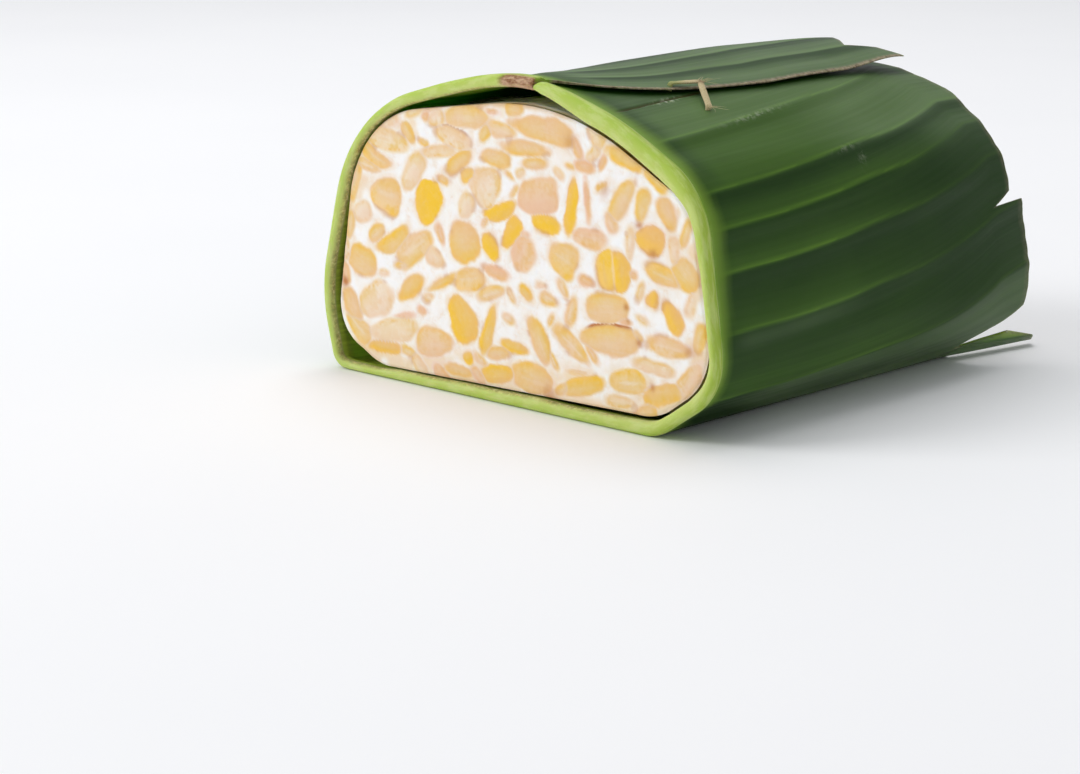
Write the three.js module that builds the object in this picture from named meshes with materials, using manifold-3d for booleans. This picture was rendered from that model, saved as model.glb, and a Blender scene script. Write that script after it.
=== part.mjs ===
// A half cake of tempeh in its banana leaf wrap, cut across so that the flat
// face of the cake shows at the front, and held shut by a bent splint pin.
//
// Millimetres, +Z up. The cake lies on the flat underside of its wrap, its cut
// face looks along -Y and its length runs along +Y. Inside this file y = 0 is
// the front of the leaf's midrib and z = 0 the surface that the cake lies on;
// the last lines move the origin to the middle of the underside.
import * as THREE from "three";
import { mergeVertices } from "three/addons/utils/BufferGeometryUtils.js";
import Module from "manifold-3d";

const wasm = await Module();
wasm.setup();

// ---- Driving dimensions ------------------------------------------------------

// Rounded corners of a cross-section, clockwise from the top as the cut face is
// looked at: x across, z up, and the radius that rounds the corner.
const WRAP_CORNERS = [
  { name: "crown", x: 8.6, z: 71.7, radius: 74 },
  { name: "right shoulder", x: 50, z: 49.5, radius: 19.6 },
  { name: "right foot", x: 55.7, z: 10.8, radius: 13 },
  { name: "right crease", x: 39.7, z: 0, radius: 9.9 },
  { name: "left crease", x: -51.6, z: 0, radius: 4.3 },
  { name: "left belly", x: -55.9, z: 16.5, radius: 31.2 },
  { name: "left shoulder", x: -45.9, z: 56.3, radius: 33 },
];
const CAKE_CORNERS = [
  { name: "crown", x: 13.4, z: 63.4, radius: 59.7 },
  { name: "right shoulder", x: 47.3, z: 45.8, radius: 13.7 },
  { name: "right foot", x: 53.2, z: 13.3, radius: 12.8 },
  { name: "right underside", x: 39.6, z: 3.8, radius: 3.2 },
  { name: "left underside", x: -38.4, z: 2.4, radius: 12.8 },
  { name: "left foot", x: -51.7, z: 8.9, radius: 9.7 },
  { name: "left shoulder", x: -44.2, z: 55.6, radius: 23.9 },
];

// The leaf: one sheet from its cut midrib at the front to its outer margin.
const BLADE_THICK = 0.8;
// How thick the midrib is, by the distance round the section.
const MIDRIB_THICK = [
  [4, 2.3],
  [8, 2.6],
  [12, 3.1],
  [16, 3.55],
  [20, 3.9],
  [32, 3.8],
  [43, 4.1],
  [48, 3.5],
  [52, 2.9],
  [60, 2.6],
  [65, 2.05],
  [72, 1.85],
  [82, 1.9],
  [92, 2.95],
  [100, 2.75],
  [107, 3.05],
  [114, 2.75],
  [128, 2.6],
  [136, 2.8],
  [160, 2.45],
  [178, 2.2],
  [184, 1.7],
  [196, 1.9],
  [208, 2.3],
  [222, 2.3],
  [236, 2.75],
  [248, 1.9],
  [256, 1.95],
  [264, 2.4],
  [280, 2.75],
  [300, 2.7],
];
const MIDRIB_PROUD = 0.9; // how far the midrib stands out from the blade
const MIDRIB_CREST_Y = 1.4; // where the bead of the midrib stands highest
const MIDRIB_HALF_WIDTH = 1.9;
const MIDRIB_FADE = [2.6, 5.5]; // where the midrib thins to the blade inside
const INNER_END_X = 3; // column 0 lies here, hidden under the flap
const INNER_END_SLANT = 0.05; // the inner end drifts left this much per mm
const INNER_START = 4.95; // the first column, butted against the end of the rim
const INNER_ZONE = 20; // stretch of sheet that follows the inner end
const FLAP_ZONE = 50; // stretch of sheet that follows the free edge
const FLAP_FRONT = 4.6; // the flap passes column 0 by this at the rim
const FLAP_REACH = 20.5; // and by this along the middle
const FLAP_REACH_FROM = 3;
const FLAP_REACH_RUN = 13;
const FLAP_RECEDE = 0.08; // per mm beyond FLAP_RECEDE_FROM
const FLAP_RECEDE_FROM = 55;

// The top layer over the sheet's start: a ridge, and the free edge beyond it.
// Run over which the top layer rises off the layer below, at the rim and behind it.
const LIFT_RUN = { rim: 20, behind: 13 };
// Behind the rim the top sinks a little, left of the overlap, and comes back up.
const ARCH = { depth: 1.6, at: 281, spread: 13, from: 3, run: 5, back: 12, fade: 26 };
const RIDGE_LIFT = { rim: 1.2, front: 1.75, middle: 2.95, back: 4.3 };
const RIM_STEP = { from: 1.6, run: 2.6 }; // y over which the lift grows behind the rim
const RIDGE_RISE = { from: 20, run: 50 }; // y over which the ridge gains its middle lift
const RIDGE_BACK = { from: 70, run: 40 };
const RIDGE_PAST = { front: 4, middle: -1 }; // the ridge line past the sheet's start
const EDGE_LIFT = { middle: 1.25, back: 3.9 };
const EDGE_SETTLE = 12; // y where the edge has come down to its middle lift
const EDGE_BACK = { from: 82, run: 25 };
const FALL_BOW = 1.6; // 1.5 gives an S-shaped fall, more bows it outward
// The midrib thins to its torn end on the flap and grows from its hidden start.
const RIM_END = { from: 4.2, run: 1.2, thick: 1, bead: 0.3 };
const RIM_START = { from: 4, run: 2.2 };
// The start rides up to the rim's end at the front.
const START_LIFT = { height: 0.6, from: 5, run: 14, back: 3, fade: 8 };

// Side veins leave the midrib square and sweep up toward the leaf's tip.
const VEIN_SPAN = 95;
const VEIN_SWEEP = 10.5;
const VEIN_SWEEP_END = 100;
const VEIN_END_SLOPE = 0.15;
const VEIN_LEAN = [
  [0, 7],
  [35, 7],
  [75, 0.5],
  [110, 2],
  [200, 3],
  [320, 3],
];

// Pleats: folds along veins, as distances along the midrib, and their height.
const PLEATS = [35, 50, 57.6, 66, 77.5, 92.5, 203, 215, 226, 240, 250, 262];
const PLEAT_START = 24;
const PLEAT_HEIGHT = 0.55;
const PLEAT_DROP = 2;
const PLEAT_FRONT = { from: 3, run: 6 }; // y over which the pleats grow

const FLAT_BELOW = 3; // outline height under which the outside is kept flat

// Outer margin: distance along the midrib, and how far back the sheet reaches.
const OVERLAP_FROM = 300.5; // column that meets the sheet's start on the midrib
const MARGIN = [
  [0, 104],
  [26, 108],
  [38, 112],
  [46, 113.5],
  [53.5, 110.5],
  [64, 107],
  [74, 107],
  [76, 100.5],
  [76.8, 112.5],
  [85, 113.5],
  [92.5, 113.5],
  [102.8, 110.4],
  [107.6, 100.5],
  [112, 98],
  [115.4, 97.2],
  [116, 121.5],
  [119.1, 124],
  [119.8, 99],
  [128, 105],
  [150, 107],
  [176, 104],
  [202, 106],
  [214, 109.5],
  [226, 108],
  [227, 101],
  [228, 107.5],
  [244, 109],
  [266, 108],
  [284, 106],
  [294, 107],
  [303, 107.5],
  [312.1, 97],
  [315, 104.8],
  [320, 108.3],
];

// The narrow strip torn loose along a vein at the right crease stands off.
const STRIP = { from: 115.9, to: 119.3, root: 97, standOff: 0.1 };

// Both sections draw in toward the back.
const TAPER = { from: 60, run: 55, most: 1.15, width: 0.07, height: 0.055, foot: 25 };

// The tempeh cake inside.
const CAKE_FACE_Y = 1.2; // the cut face sits back from the midrib's front
const CAKE_BACK_Y = 103;
const CAKE_END_ROUND = 12;
const CAKE_CROWN = 0.7; // the top is this much higher at mid length
const CAKE_CROWN_AT = { from: 41.7, run: 18 }; // heights over which the crown grows
const CAKE_SAG = 1.1; // the underside sags by this behind the midrib
const CAKE_SAG_AT = { from: 4.5, run: 4, below: 9.7, height: 5 };

// The splint pin, placed by distance past the sheet's start and by y.
// Its ends pass just through the layer they enter.
const PIN = { width: 1.3, thick: 0.45, clearance: 0.35, through: 0.25, hover: 0.32 };
const PIN_TIP = { along: 16.6, y: 27.5, rise: 0 };
const PIN_BEND = { along: 18.8, y: 33.9, rise: 0.7 };
const PIN_EDGE = { along: 21.2, y: 32.1, rise: 0.25 };
const PIN_FOOT = { along: 26.4, y: 28.7, rise: 0.15 };

// Mesh density.
const TABLE_STEP = 0.3;
const RIM_ROWS = [0, 0.5, 1.4, 2.5, 3.3, 5.5];
const BLADE_STEP = 9.2; // rows up to the shallowest margin
const BLADE_ROWS_END = 88;
const MARGIN_ROWS = 3;
const CREASE_STEP = 2.2;
const WIDEST_COLUMN = 6.5;
const NARROWEST_COLUMN = 0.45;
const LEAF_COLUMNS = [6.6, 10, 15, INNER_ZONE, 28, 43, 71, 98];
const EDGE_COLUMN = 4; // the last column but one is this far from the free edge
const RIGHT_CREASE_FROM = 103;
const UNDERSIDE = [128, 194]; // flat stretch that needs few columns
const LEFT_CREASE_TO = 225;
const CAKE_COLUMNS = 72;
const CAKE_ROWS = 8;
const CAKE_END_TURNS = [18, 36, 54, 72, 84]; // degrees round the back edge

// ---- Small helpers -------------------------------------------------------------

const clamp01 = (t) => Math.min(1, Math.max(0, t));
const smooth = (t) => clamp01(t) ** 2 * (3 - 2 * clamp01(t));
const mix = (a, b, t) => a + (b - a) * t;

// Straight-line lookup in a sorted table of [position, value] rows.
function lookup(table, at) {
  if (at <= table[0][0]) return table[0][1];
  for (let i = 1; i < table.length; i++) {
    const [a, va] = table[i - 1];
    const [b, vb] = table[i];
    if (at <= b) return mix(va, vb, (at - a) / (b - a));
  }
  return table[table.length - 1][1];
}

// A section starts on its top, in the part above this share of its height.
const START_SHARE = 0.75;

// Points round a polygon whose corners are rounded by tangent arcs.
function roundedOutline(corners) {
  const points = [];
  corners.forEach((corner, i) => {
    const before = corners[(i + corners.length - 1) % corners.length];
    const after = corners[(i + 1) % corners.length];
    const at = new THREE.Vector2(corner.x, corner.z);
    const toBefore = new THREE.Vector2(before.x, before.z).sub(at).normalize();
    const toAfter = new THREE.Vector2(after.x, after.z).sub(at).normalize();
    const half = Math.acos(toBefore.dot(toAfter)) / 2;
    const start = toBefore.clone().multiplyScalar(corner.radius / Math.tan(half));
    const centre = toBefore
      .clone()
      .add(toAfter)
      .setLength(corner.radius / Math.sin(half));
    const sweep = Math.PI - 2 * half;
    const steps = Math.max(2, Math.ceil((sweep * corner.radius) / TABLE_STEP));
    for (let k = 0; k <= steps; k++) {
      const spoke = start.clone().sub(centre);
      spoke.rotateAround(new THREE.Vector2(), (-sweep * k) / steps);
      points.push(at.clone().add(centre).add(spoke));
    }
  });
  return points;
}

// A closed cross-section, measured by distance along it from a start on its top.
class Section {
  constructor(corners, startX) {
    const points = roundedOutline(corners);
    const top = Math.max(...points.map((p) => p.y)) * START_SHARE;
    let first = 0;
    points.forEach((p, i) => {
      const best = Math.abs(points[first].x - startX);
      if (p.y > top && (points[first].y <= top || Math.abs(p.x - startX) < best)) first = i;
    });
    this.points = points.map((_, i) => points[(first + i) % points.length]);
    this.points.push(this.points[0]);
    this.distance = [0];
    for (let i = 1; i < this.points.length; i++)
      this.distance.push(this.distance[i - 1] + this.points[i].distanceTo(this.points[i - 1]));
    this.length = this.distance[this.distance.length - 1];
  }

  // The point this far along the section, pushed out by `out` along its normal.
  at(along, out) {
    const s = ((along % this.length) + this.length) % this.length;
    let low = 0;
    let high = this.distance.length - 1;
    while (high - low > 1) {
      const middle = (low + high) >> 1;
      if (this.distance[middle] <= s) low = middle;
      else high = middle;
    }
    const a = this.points[low];
    const b = this.points[high];
    const point = a.clone().lerp(b, (s - this.distance[low]) / (this.distance[high] - this.distance[low]));
    const n = this.points.length - 1;
    const run = this.points[(low + 2) % n].clone().sub(this.points[(low + n - 1) % n]).normalize();
    return new THREE.Vector2(point.x - run.y * out, point.y + run.x * out);
  }
}

// Draws a section point in toward the back, keeping the foot of the sides wide.
function tapered(point, y) {
  const draw = Math.min(TAPER.most, Math.max(0, (y - TAPER.from) / TAPER.run)) ** 2;
  const x = point.x * (1 - TAPER.width * draw * smooth(point.y / TAPER.foot));
  return new THREE.Vector3(x, y, point.y * (1 - TAPER.height * draw));
}

// Triangles of a strip of quads between rows of one grid, wound one way.
function quadsBetween(indexOf, rows, columns, wrapColumns) {
  const faces = [];
  const last = wrapColumns ? columns : columns - 1;
  for (let i = 0; i < rows - 1; i++)
    for (let j = 0; j < last; j++) {
      const a = indexOf(i, j);
      const b = indexOf(i, (j + 1) % columns);
      const c = indexOf(i + 1, (j + 1) % columns);
      const d = indexOf(i + 1, j);
      faces.push(a, b, c, a, c, d);
    }
  return faces;
}

function geometryOf(points, faces) {
  const geometry = new THREE.BufferGeometry();
  const flat = points.flatMap((p) => [p.x, p.y, p.z]);
  geometry.setAttribute("position", new THREE.Float32BufferAttribute(flat, 3));
  geometry.setIndex(faces);
  return mergeVertices(geometry, 1e-4);
}

// Turns the faces round when the closed surface they make is inside out.
function facingOut(points, faces) {
  let volume = 0;
  for (let i = 0; i < faces.length; i += 3) {
    const [a, b, c] = [points[faces[i]], points[faces[i + 1]], points[faces[i + 2]]];
    volume += a.dot(b.clone().cross(c));
  }
  if (volume > 0) return faces;
  const turned = [];
  for (let i = 0; i < faces.length; i += 3) turned.push(faces[i], faces[i + 2], faces[i + 1]);
  return turned;
}

function solidOf(geometry) {
  return new wasm.Manifold(
    new wasm.Mesh({
      numProp: 3,
      vertProperties: new Float32Array(geometry.getAttribute("position").array),
      triVerts: new Uint32Array(geometry.index.array),
    }),
  );
}

function geometryOfSolid(solid) {
  const mesh = solid.getMesh();
  const geometry = new THREE.BufferGeometry();
  geometry.setAttribute("position", new THREE.BufferAttribute(mesh.vertProperties, 3));
  geometry.setIndex(new THREE.BufferAttribute(mesh.triVerts, 1));
  return geometry;
}

// ---- The leaf as one sheet -----------------------------------------------------

const wrap = new Section(WRAP_CORNERS, INNER_END_X);
const around = wrap.length;
const sheetEnd = around + MARGIN[MARGIN.length - 1][0] - OVERLAP_FROM;

// How far a vein has swept back along the section by the time it reaches y.
function veinSweep(vein, y) {
  const t = Math.min(y, VEIN_SWEEP_END) / VEIN_SPAN;
  const beyond = Math.max(0, y - VEIN_SWEEP_END) * VEIN_END_SLOPE;
  return lookup(VEIN_LEAN, vein) * t + VEIN_SWEEP * t ** 3 + beyond;
}

// How far the flap's free edge lies past the sheet's start.
function flapEdge(y) {
  const past = Math.max(0, y - FLAP_REACH_FROM);
  const reach = (FLAP_REACH - FLAP_FRONT) * (1 - Math.exp(-past / FLAP_REACH_RUN));
  return FLAP_FRONT + reach - FLAP_RECEDE * Math.max(0, y - FLAP_RECEDE_FROM);
}

// Distance round the section of a sheet column at y.
function roundAt(column, y) {
  if (column < INNER_ZONE) {
    const inner = -INNER_END_SLANT * y;
    return mix(inner, INNER_ZONE - veinSweep(INNER_ZONE, y), column / INNER_ZONE);
  }
  const flapStart = sheetEnd - FLAP_ZONE;
  if (column > flapStart) {
    const share = (column - flapStart) / FLAP_ZONE;
    return mix(flapStart - veinSweep(flapStart, y), around + flapEdge(y), share);
  }
  return column - veinSweep(column, y);
}

// Lift of the top layer where it lies over the start of the sheet.
function liftAt(round, y) {
  const past = round - around;
  const away = (round - ARCH.at) / ARCH.spread;
  const sunk =
    ARCH.depth *
    Math.exp(-away * away) *
    smooth((y - ARCH.from) / ARCH.run) *
    (1 - smooth((y - ARCH.back) / ARCH.fade));
  const run = mix(LIFT_RUN.rim, LIFT_RUN.behind, smooth((y - RIM_STEP.from) / RIM_STEP.run));
  if (past < -run) return -sunk;
  const early = smooth(y / EDGE_SETTLE);
  const late = smooth((y - RIDGE_BACK.from) / RIDGE_BACK.run);
  const rise = smooth((y - RIDGE_RISE.from) / RIDGE_RISE.run);
  const front = mix(RIDGE_LIFT.rim, RIDGE_LIFT.front, smooth((y - RIM_STEP.from) / RIM_STEP.run));
  const ridge = mix(mix(front, RIDGE_LIFT.middle, rise), RIDGE_LIFT.back, late);
  const lateEdge = smooth((y - EDGE_BACK.from) / EDGE_BACK.run);
  const edge = mix(mix(front, EDGE_LIFT.middle, early), EDGE_LIFT.back, lateEdge);
  const top = mix(RIDGE_PAST.front, RIDGE_PAST.middle, early);
  if (past < top) return ridge * smooth((past + run) / (run + top)) - sunk;
  const fall = clamp01((past - top) / (flapEdge(y) - top));
  return mix(ridge, edge, fall * fall * mix(FALL_BOW, 1, fall)) - sunk;
}

// Height of the pleats: each fold falls away sharply, then the sheet rises
// slowly to the next one. They die out at the midrib and on the underside.
function pleatAt(column, y) {
  if (column < PLEAT_START) return 0;
  const next = PLEATS.findIndex((line) => line > column);
  if (next < 0) return 0;
  const from = next === 0 ? PLEAT_START : PLEATS[next - 1];
  const after = column - from;
  const rise = (after / (PLEATS[next] - from)) ** 2;
  const drop = next === 0 ? 0 : Math.max(0, 1 - after / PLEAT_DROP);
  return PLEAT_HEIGHT * Math.max(rise, drop) * smooth((y - PLEAT_FRONT.from) / PLEAT_FRONT.run);
}

// Height of the sheet's outer and inner surface over the wrap's outline.
function sheetHeights(column, round, y) {
  const height = wrap.at(round, 0).y;
  const clear = smooth(height / FLAT_BELOW); // 0 on the flat underside, 1 above it
  const t = (y - MIDRIB_CREST_Y) / MIDRIB_HALF_WIDTH;
  const ending = smooth((round - around - RIM_END.from) / RIM_END.run); // 1 at the torn end
  const starting = smooth((column - RIM_START.from) / RIM_START.run);
  const fade = starting * mix(1, RIM_END.bead, ending);
  const bead = Math.sqrt(Math.max(0, 1 - t * t)) * fade;
  const tornEnd = RIM_END.thick + MIDRIB_PROUD * (1 - RIM_END.bead);
  const midrib = mix(lookup(MIDRIB_THICK, round), tornEnd, ending);
  const onStrip = column >= STRIP.from && column <= STRIP.to ? STRIP.standOff : 0;
  const lift = liftAt(round, y) + onStrip * Math.max(0, y - STRIP.root);
  const near = 1 - smooth((y - START_LIFT.back) / START_LIFT.fade);
  const start =
    START_LIFT.height * near * (1 - smooth((round - START_LIFT.from) / START_LIFT.run));
  const surface = lift + start + pleatAt(column, y) * clear;
  const outer = surface - MIDRIB_PROUD * clear * (1 - bead);
  const blade = surface - MIDRIB_PROUD * clear - BLADE_THICK;
  const thinning = smooth((y - MIDRIB_FADE[0]) / (MIDRIB_FADE[1] - MIDRIB_FADE[0]));
  const inner = mix(lift + start - midrib, blade, thinning);
  return { outer, inner };
}

// Columns of the sheet: every pleat and margin point, close together where
// the sheet turns a crease.
function sheetColumns() {
  const columns = [INNER_START, ...LEAF_COLUMNS, sheetEnd - EDGE_COLUMN, sheetEnd];
  for (const line of PLEATS) columns.push(line, line + PLEAT_DROP);
  for (const [at] of MARGIN) columns.push(Math.min(at, sheetEnd));
  for (let at = RIGHT_CREASE_FROM; at < UNDERSIDE[0]; at += CREASE_STEP) columns.push(at);
  for (let at = UNDERSIDE[1]; at < LEFT_CREASE_TO; at += CREASE_STEP) columns.push(at);
  columns.sort((a, b) => a - b);
  const kept = [];
  for (const at of columns) {
    if (at < INNER_START) continue;
    const before = kept[kept.length - 1];
    if (kept.length && at - before <= NARROWEST_COLUMN) continue;
    const onUnderside = before >= UNDERSIDE[0] - 1 && at <= UNDERSIDE[1] + 1;
    if (kept.length && at - before > WIDEST_COLUMN && !onUnderside) kept.push((at + before) / 2);
    kept.push(at);
  }
  return kept;
}

function leafSheet() {
  const columns = sheetColumns();
  const fixed = [...RIM_ROWS];
  const rimEnd = fixed[fixed.length - 1];
  const steps = Math.round((BLADE_ROWS_END - rimEnd) / BLADE_STEP);
  for (let k = 1; k <= steps; k++) fixed.push(mix(rimEnd, BLADE_ROWS_END, k / steps));
  const depths = fixed.length + MARGIN_ROWS;
  const points = [];
  for (const column of columns) {
    const back = lookup(MARGIN, column);
    const ys = [...fixed];
    for (let k = 1; k <= MARGIN_ROWS; k++) ys.push(mix(BLADE_ROWS_END, back, k / MARGIN_ROWS));
    const outer = [];
    const inner = [];
    for (const y of ys) {
      const round = roundAt(column, y);
      const heights = sheetHeights(column, round, y);
      outer.push(tapered(wrap.at(round, heights.outer), y));
      inner.push(tapered(wrap.at(round, heights.inner), y));
    }
    for (const point of outer) point.z = Math.max(0, point.z);
    points.push(...outer.reverse(), ...inner);
  }
  const loop = 2 * depths;
  const indexOf = (i, j) => i * loop + j;
  const faces = quadsBetween(indexOf, columns.length, loop, true);
  for (const [i, turn] of [[0, true], [columns.length - 1, false]])
    for (let j = 0; j < depths - 1; j++) {
      const [a, b] = [indexOf(i, depths - 1 - j), indexOf(i, depths - 2 - j)];
      const [c, d] = [indexOf(i, depths + j + 1), indexOf(i, depths + j)];
      faces.push(...(turn ? [a, b, c, a, c, d] : [a, c, b, a, d, c]));
    }
  return { points, faces };
}

// ---- The tempeh cake -------------------------------------------------------------

function cakeSolid() {
  const section = new Section(CAKE_CORNERS, INNER_END_X);
  const sagEnd = CAKE_SAG_AT.from + CAKE_SAG_AT.run;
  const ys = [CAKE_FACE_Y, CAKE_SAG_AT.from, sagEnd];
  const straightEnd = CAKE_BACK_Y - CAKE_END_ROUND;
  for (let k = 1; k <= CAKE_ROWS; k++) ys.push(mix(sagEnd, straightEnd, k / CAKE_ROWS));
  const insets = ys.map(() => 0);
  for (const degrees of CAKE_END_TURNS) {
    const angle = THREE.MathUtils.degToRad(degrees);
    ys.push(straightEnd + CAKE_END_ROUND * Math.sin(angle));
    insets.push(CAKE_END_ROUND * (1 - Math.cos(angle)));
  }
  const points = [];
  ys.forEach((y, i) => {
    for (let j = 0; j < CAKE_COLUMNS; j++) {
      const flat = section.at((j / CAKE_COLUMNS) * section.length, -insets[i]);
      const middle = Math.sin(Math.PI * clamp01((y - CAKE_FACE_Y) / (CAKE_BACK_Y - CAKE_FACE_Y)));
      flat.y += CAKE_CROWN * middle * smooth((flat.y - CAKE_CROWN_AT.from) / CAKE_CROWN_AT.run);
      const low = smooth((CAKE_SAG_AT.below - flat.y) / CAKE_SAG_AT.height);
      flat.y -= CAKE_SAG * low * smooth((y - CAKE_SAG_AT.from) / CAKE_SAG_AT.run);
      points.push(tapered(flat, y));
    }
  });
  const indexOf = (i, j) => i * CAKE_COLUMNS + j;
  const faces = quadsBetween(indexOf, ys.length, CAKE_COLUMNS, true);
  const centreOf = (i) => {
    const centre = new THREE.Vector3();
    for (let j = 0; j < CAKE_COLUMNS; j++) centre.add(points[indexOf(i, j)]);
    return centre.divideScalar(CAKE_COLUMNS);
  };
  const front = points.push(centreOf(0)) - 1;
  const backCentre = centreOf(ys.length - 1);
  backCentre.y = CAKE_BACK_Y;
  const back = points.push(backCentre) - 1;
  for (let j = 0; j < CAKE_COLUMNS; j++) {
    const k = (j + 1) % CAKE_COLUMNS;
    faces.push(front, indexOf(0, k), indexOf(0, j));
    faces.push(back, indexOf(ys.length - 1, j), indexOf(ys.length - 1, k));
  }
  return { points, faces };
}

// ---- The splint pin ----------------------------------------------------------------

// A point over one layer of the leaf, at a height over that layer's outside.
function overLayer({ along, y, rise }, isFlap, height) {
  const column = isFlap ? sheetEnd - EDGE_COLUMN : along + veinSweep(along, y);
  const round = isFlap ? around + along : along;
  const layer = sheetHeights(column, round, y).outer;
  return tapered(wrap.at(round, layer + height + rise), y);
}

// Sweeps a flat strip through path points, keeping its broad side to the leaf.
function strip(path, outward, width, thick) {
  const points = [];
  path.forEach((point, i) => {
    const before = path[Math.max(0, i - 1)];
    const after = path[Math.min(path.length - 1, i + 1)];
    const along = after.clone().sub(before).normalize();
    const side = outward[i].clone().cross(along).normalize().multiplyScalar(width / 2);
    const up = along.clone().cross(side).normalize().multiplyScalar(thick / 2);
    for (const [a, b] of [[-1, -1], [1, -1], [1, 1], [-1, 1]])
      points.push(point.clone().addScaledVector(side, a).addScaledVector(up, b));
  });
  const indexOf = (i, j) => i * 4 + j;
  const faces = quadsBetween(indexOf, path.length, 4, true);
  const last = path.length - 1;
  faces.push(0, 2, 1, 0, 3, 2);
  faces.push(indexOf(last, 0), indexOf(last, 1), indexOf(last, 2));
  faces.push(indexOf(last, 0), indexOf(last, 2), indexOf(last, 3));
  return geometryOf(points, facingOut(points, faces));
}

function pinPath() {
  const hover = PIN.hover + PIN.thick / 2;
  const tip = overLayer(PIN_TIP, true, hover);
  const bend = overLayer(PIN_BEND, true, hover);
  const edge = overLayer(PIN_EDGE, true, hover);
  const foot = overLayer(PIN_FOOT, false, hover);
  const slope = overLayer(PIN_TIP, true, hover + 1).sub(tip).normalize();
  const footSlope = overLayer(PIN_FOOT, false, hover + 1).sub(foot).normalize();
  const back = new THREE.Vector3(0, 1, 0);
  const depth = hover + BLADE_THICK + PIN.through;
  const down = (from, normal) => from.clone().addScaledVector(normal, -depth);
  const across = footSlope.clone().cross(back).negate();
  return {
    path: [down(tip, slope), tip, bend, edge, foot, down(foot, footSlope)],
    outward: [back.clone().negate(), slope, slope, slope, footSlope, across],
  };
}

// Straight slots that the pin's two ends pass through, with play all round.
function pinPassages({ path, outward }) {
  const play = 2 * PIN.clearance;
  const ends = [[0, 1], [path.length - 1, path.length - 2]];
  return ends.map(([deep, shallow]) => {
    const way = path[shallow].clone().sub(path[deep]).normalize().multiplyScalar(PIN.clearance);
    const from = path[deep].clone().sub(way);
    const to = path[shallow].clone().add(way);
    const facing = outward[deep];
    return strip([from, to], [facing, facing], PIN.width + play, PIN.thick + play);
  });
}

// ---- Scene graph -----------------------------------------------------------------------

const leafGreen = new THREE.MeshStandardMaterial({ color: 0x3f5e30, roughness: 0.45, metalness: 0 });
const tempehWhite = new THREE.MeshStandardMaterial({ color: 0xf3e3cd, roughness: 0.8, metalness: 0 });
const splintTan = new THREE.MeshStandardMaterial({ color: 0xb4a782, roughness: 0.7, metalness: 0 });

const sheet = leafSheet();
const sheetSolid = solidOf(geometryOf(sheet.points, facingOut(sheet.points, sheet.faces)));
const pin = pinPath();
const splint = strip(pin.path, pin.outward, PIN.width, PIN.thick);
const pierced = pinPassages(pin).reduce((leaf, bore) => leaf.subtract(solidOf(bore)), sheetSolid);
const leafWrap = new THREE.Mesh(geometryOfSolid(pierced), leafGreen);
leafWrap.name = "leaf_wrap";

const cake = cakeSolid();
const tempehBlock = new THREE.Mesh(geometryOf(cake.points, facingOut(cake.points, cake.faces)), tempehWhite);
tempehBlock.name = "tempeh_block";

const splintPin = new THREE.Mesh(splint, splintTan);
splintPin.name = "splint_pin";

const part = new THREE.Group();
part.add(leafWrap, tempehBlock, splintPin);
part.updateMatrixWorld(true);
const box = new THREE.Box3().setFromObject(part, true);
const middle = box.getCenter(new THREE.Vector3());
for (const mesh of part.children) mesh.position.set(-middle.x, -middle.y, -box.min.z);

export default part;
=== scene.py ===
"""Half a cake of tempeh in its banana leaf wrap, with a bent bamboo splint through the flap.

Shapes are worked out in millimetres in the maker's frame: x across the cut face, y back from the
front of the leaf's midrib, z up from the surface that the cake lies on. FRAME_SHIFT then carries
them to the part's own frame, and UNIT turns them into metres.
"""

import logging
import math
from dataclasses import dataclass, field
from enum import Enum

import bpy
import numpy as np
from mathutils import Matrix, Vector


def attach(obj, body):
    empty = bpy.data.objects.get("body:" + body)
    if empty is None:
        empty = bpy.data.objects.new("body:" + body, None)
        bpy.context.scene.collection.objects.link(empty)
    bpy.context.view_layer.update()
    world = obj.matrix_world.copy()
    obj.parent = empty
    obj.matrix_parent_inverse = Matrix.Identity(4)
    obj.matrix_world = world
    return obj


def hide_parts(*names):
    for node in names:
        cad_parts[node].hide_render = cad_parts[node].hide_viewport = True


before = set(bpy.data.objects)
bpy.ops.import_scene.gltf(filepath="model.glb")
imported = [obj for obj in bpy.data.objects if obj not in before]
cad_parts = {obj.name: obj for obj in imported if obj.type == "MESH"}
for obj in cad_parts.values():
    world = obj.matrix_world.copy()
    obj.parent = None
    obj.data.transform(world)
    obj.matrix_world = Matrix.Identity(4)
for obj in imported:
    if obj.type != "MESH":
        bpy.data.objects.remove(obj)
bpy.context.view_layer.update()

LOG = logging.getLogger("tempeh")
UNIT = 0.001
FRAME_SHIFT = np.array([0.2298, -62.0, 0.0])

Array = np.ndarray
Socket = bpy.types.NodeSocket
Stops = tuple[tuple[float, str], ...]


# ---- Small helpers ----


def ease(t: Array | float) -> Array:
    """The smooth step 3t^2 - 2t^3 of t held between 0 and 1."""
    held = np.clip(t, 0.0, 1.0)
    return held * held * (3.0 - 2.0 * held)


def mix(a: Array | float, b: Array | float, t: Array | float) -> Array:
    """The value the share t of the way from a to b."""
    return a + (b - a) * t


def bell(t: Array | float) -> Array:
    """The bell curve exp(-t^2)."""
    return np.exp(-np.square(t))


@dataclass(frozen=True)
class Onset:
    """A soft start: 0 up to `start`, 1 from `run` past it, with the smooth step between."""

    start: float
    run: float

    def __call__(self, t: Array | float) -> Array:
        """The share reached at t."""
        return ease((t - self.start) / self.run)


@dataclass(frozen=True)
class Bump:
    """A soft patch: the bell curve round `middle`, down to 1/e at `spread` from it."""

    middle: float
    spread: float

    def __call__(self, t: Array | float) -> Array:
        """The share reached at t."""
        return bell((t - self.middle) / self.spread)


ALWAYS = Onset(-1e6, 1.0)
NEVER = Onset(1e6, 1.0)


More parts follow.
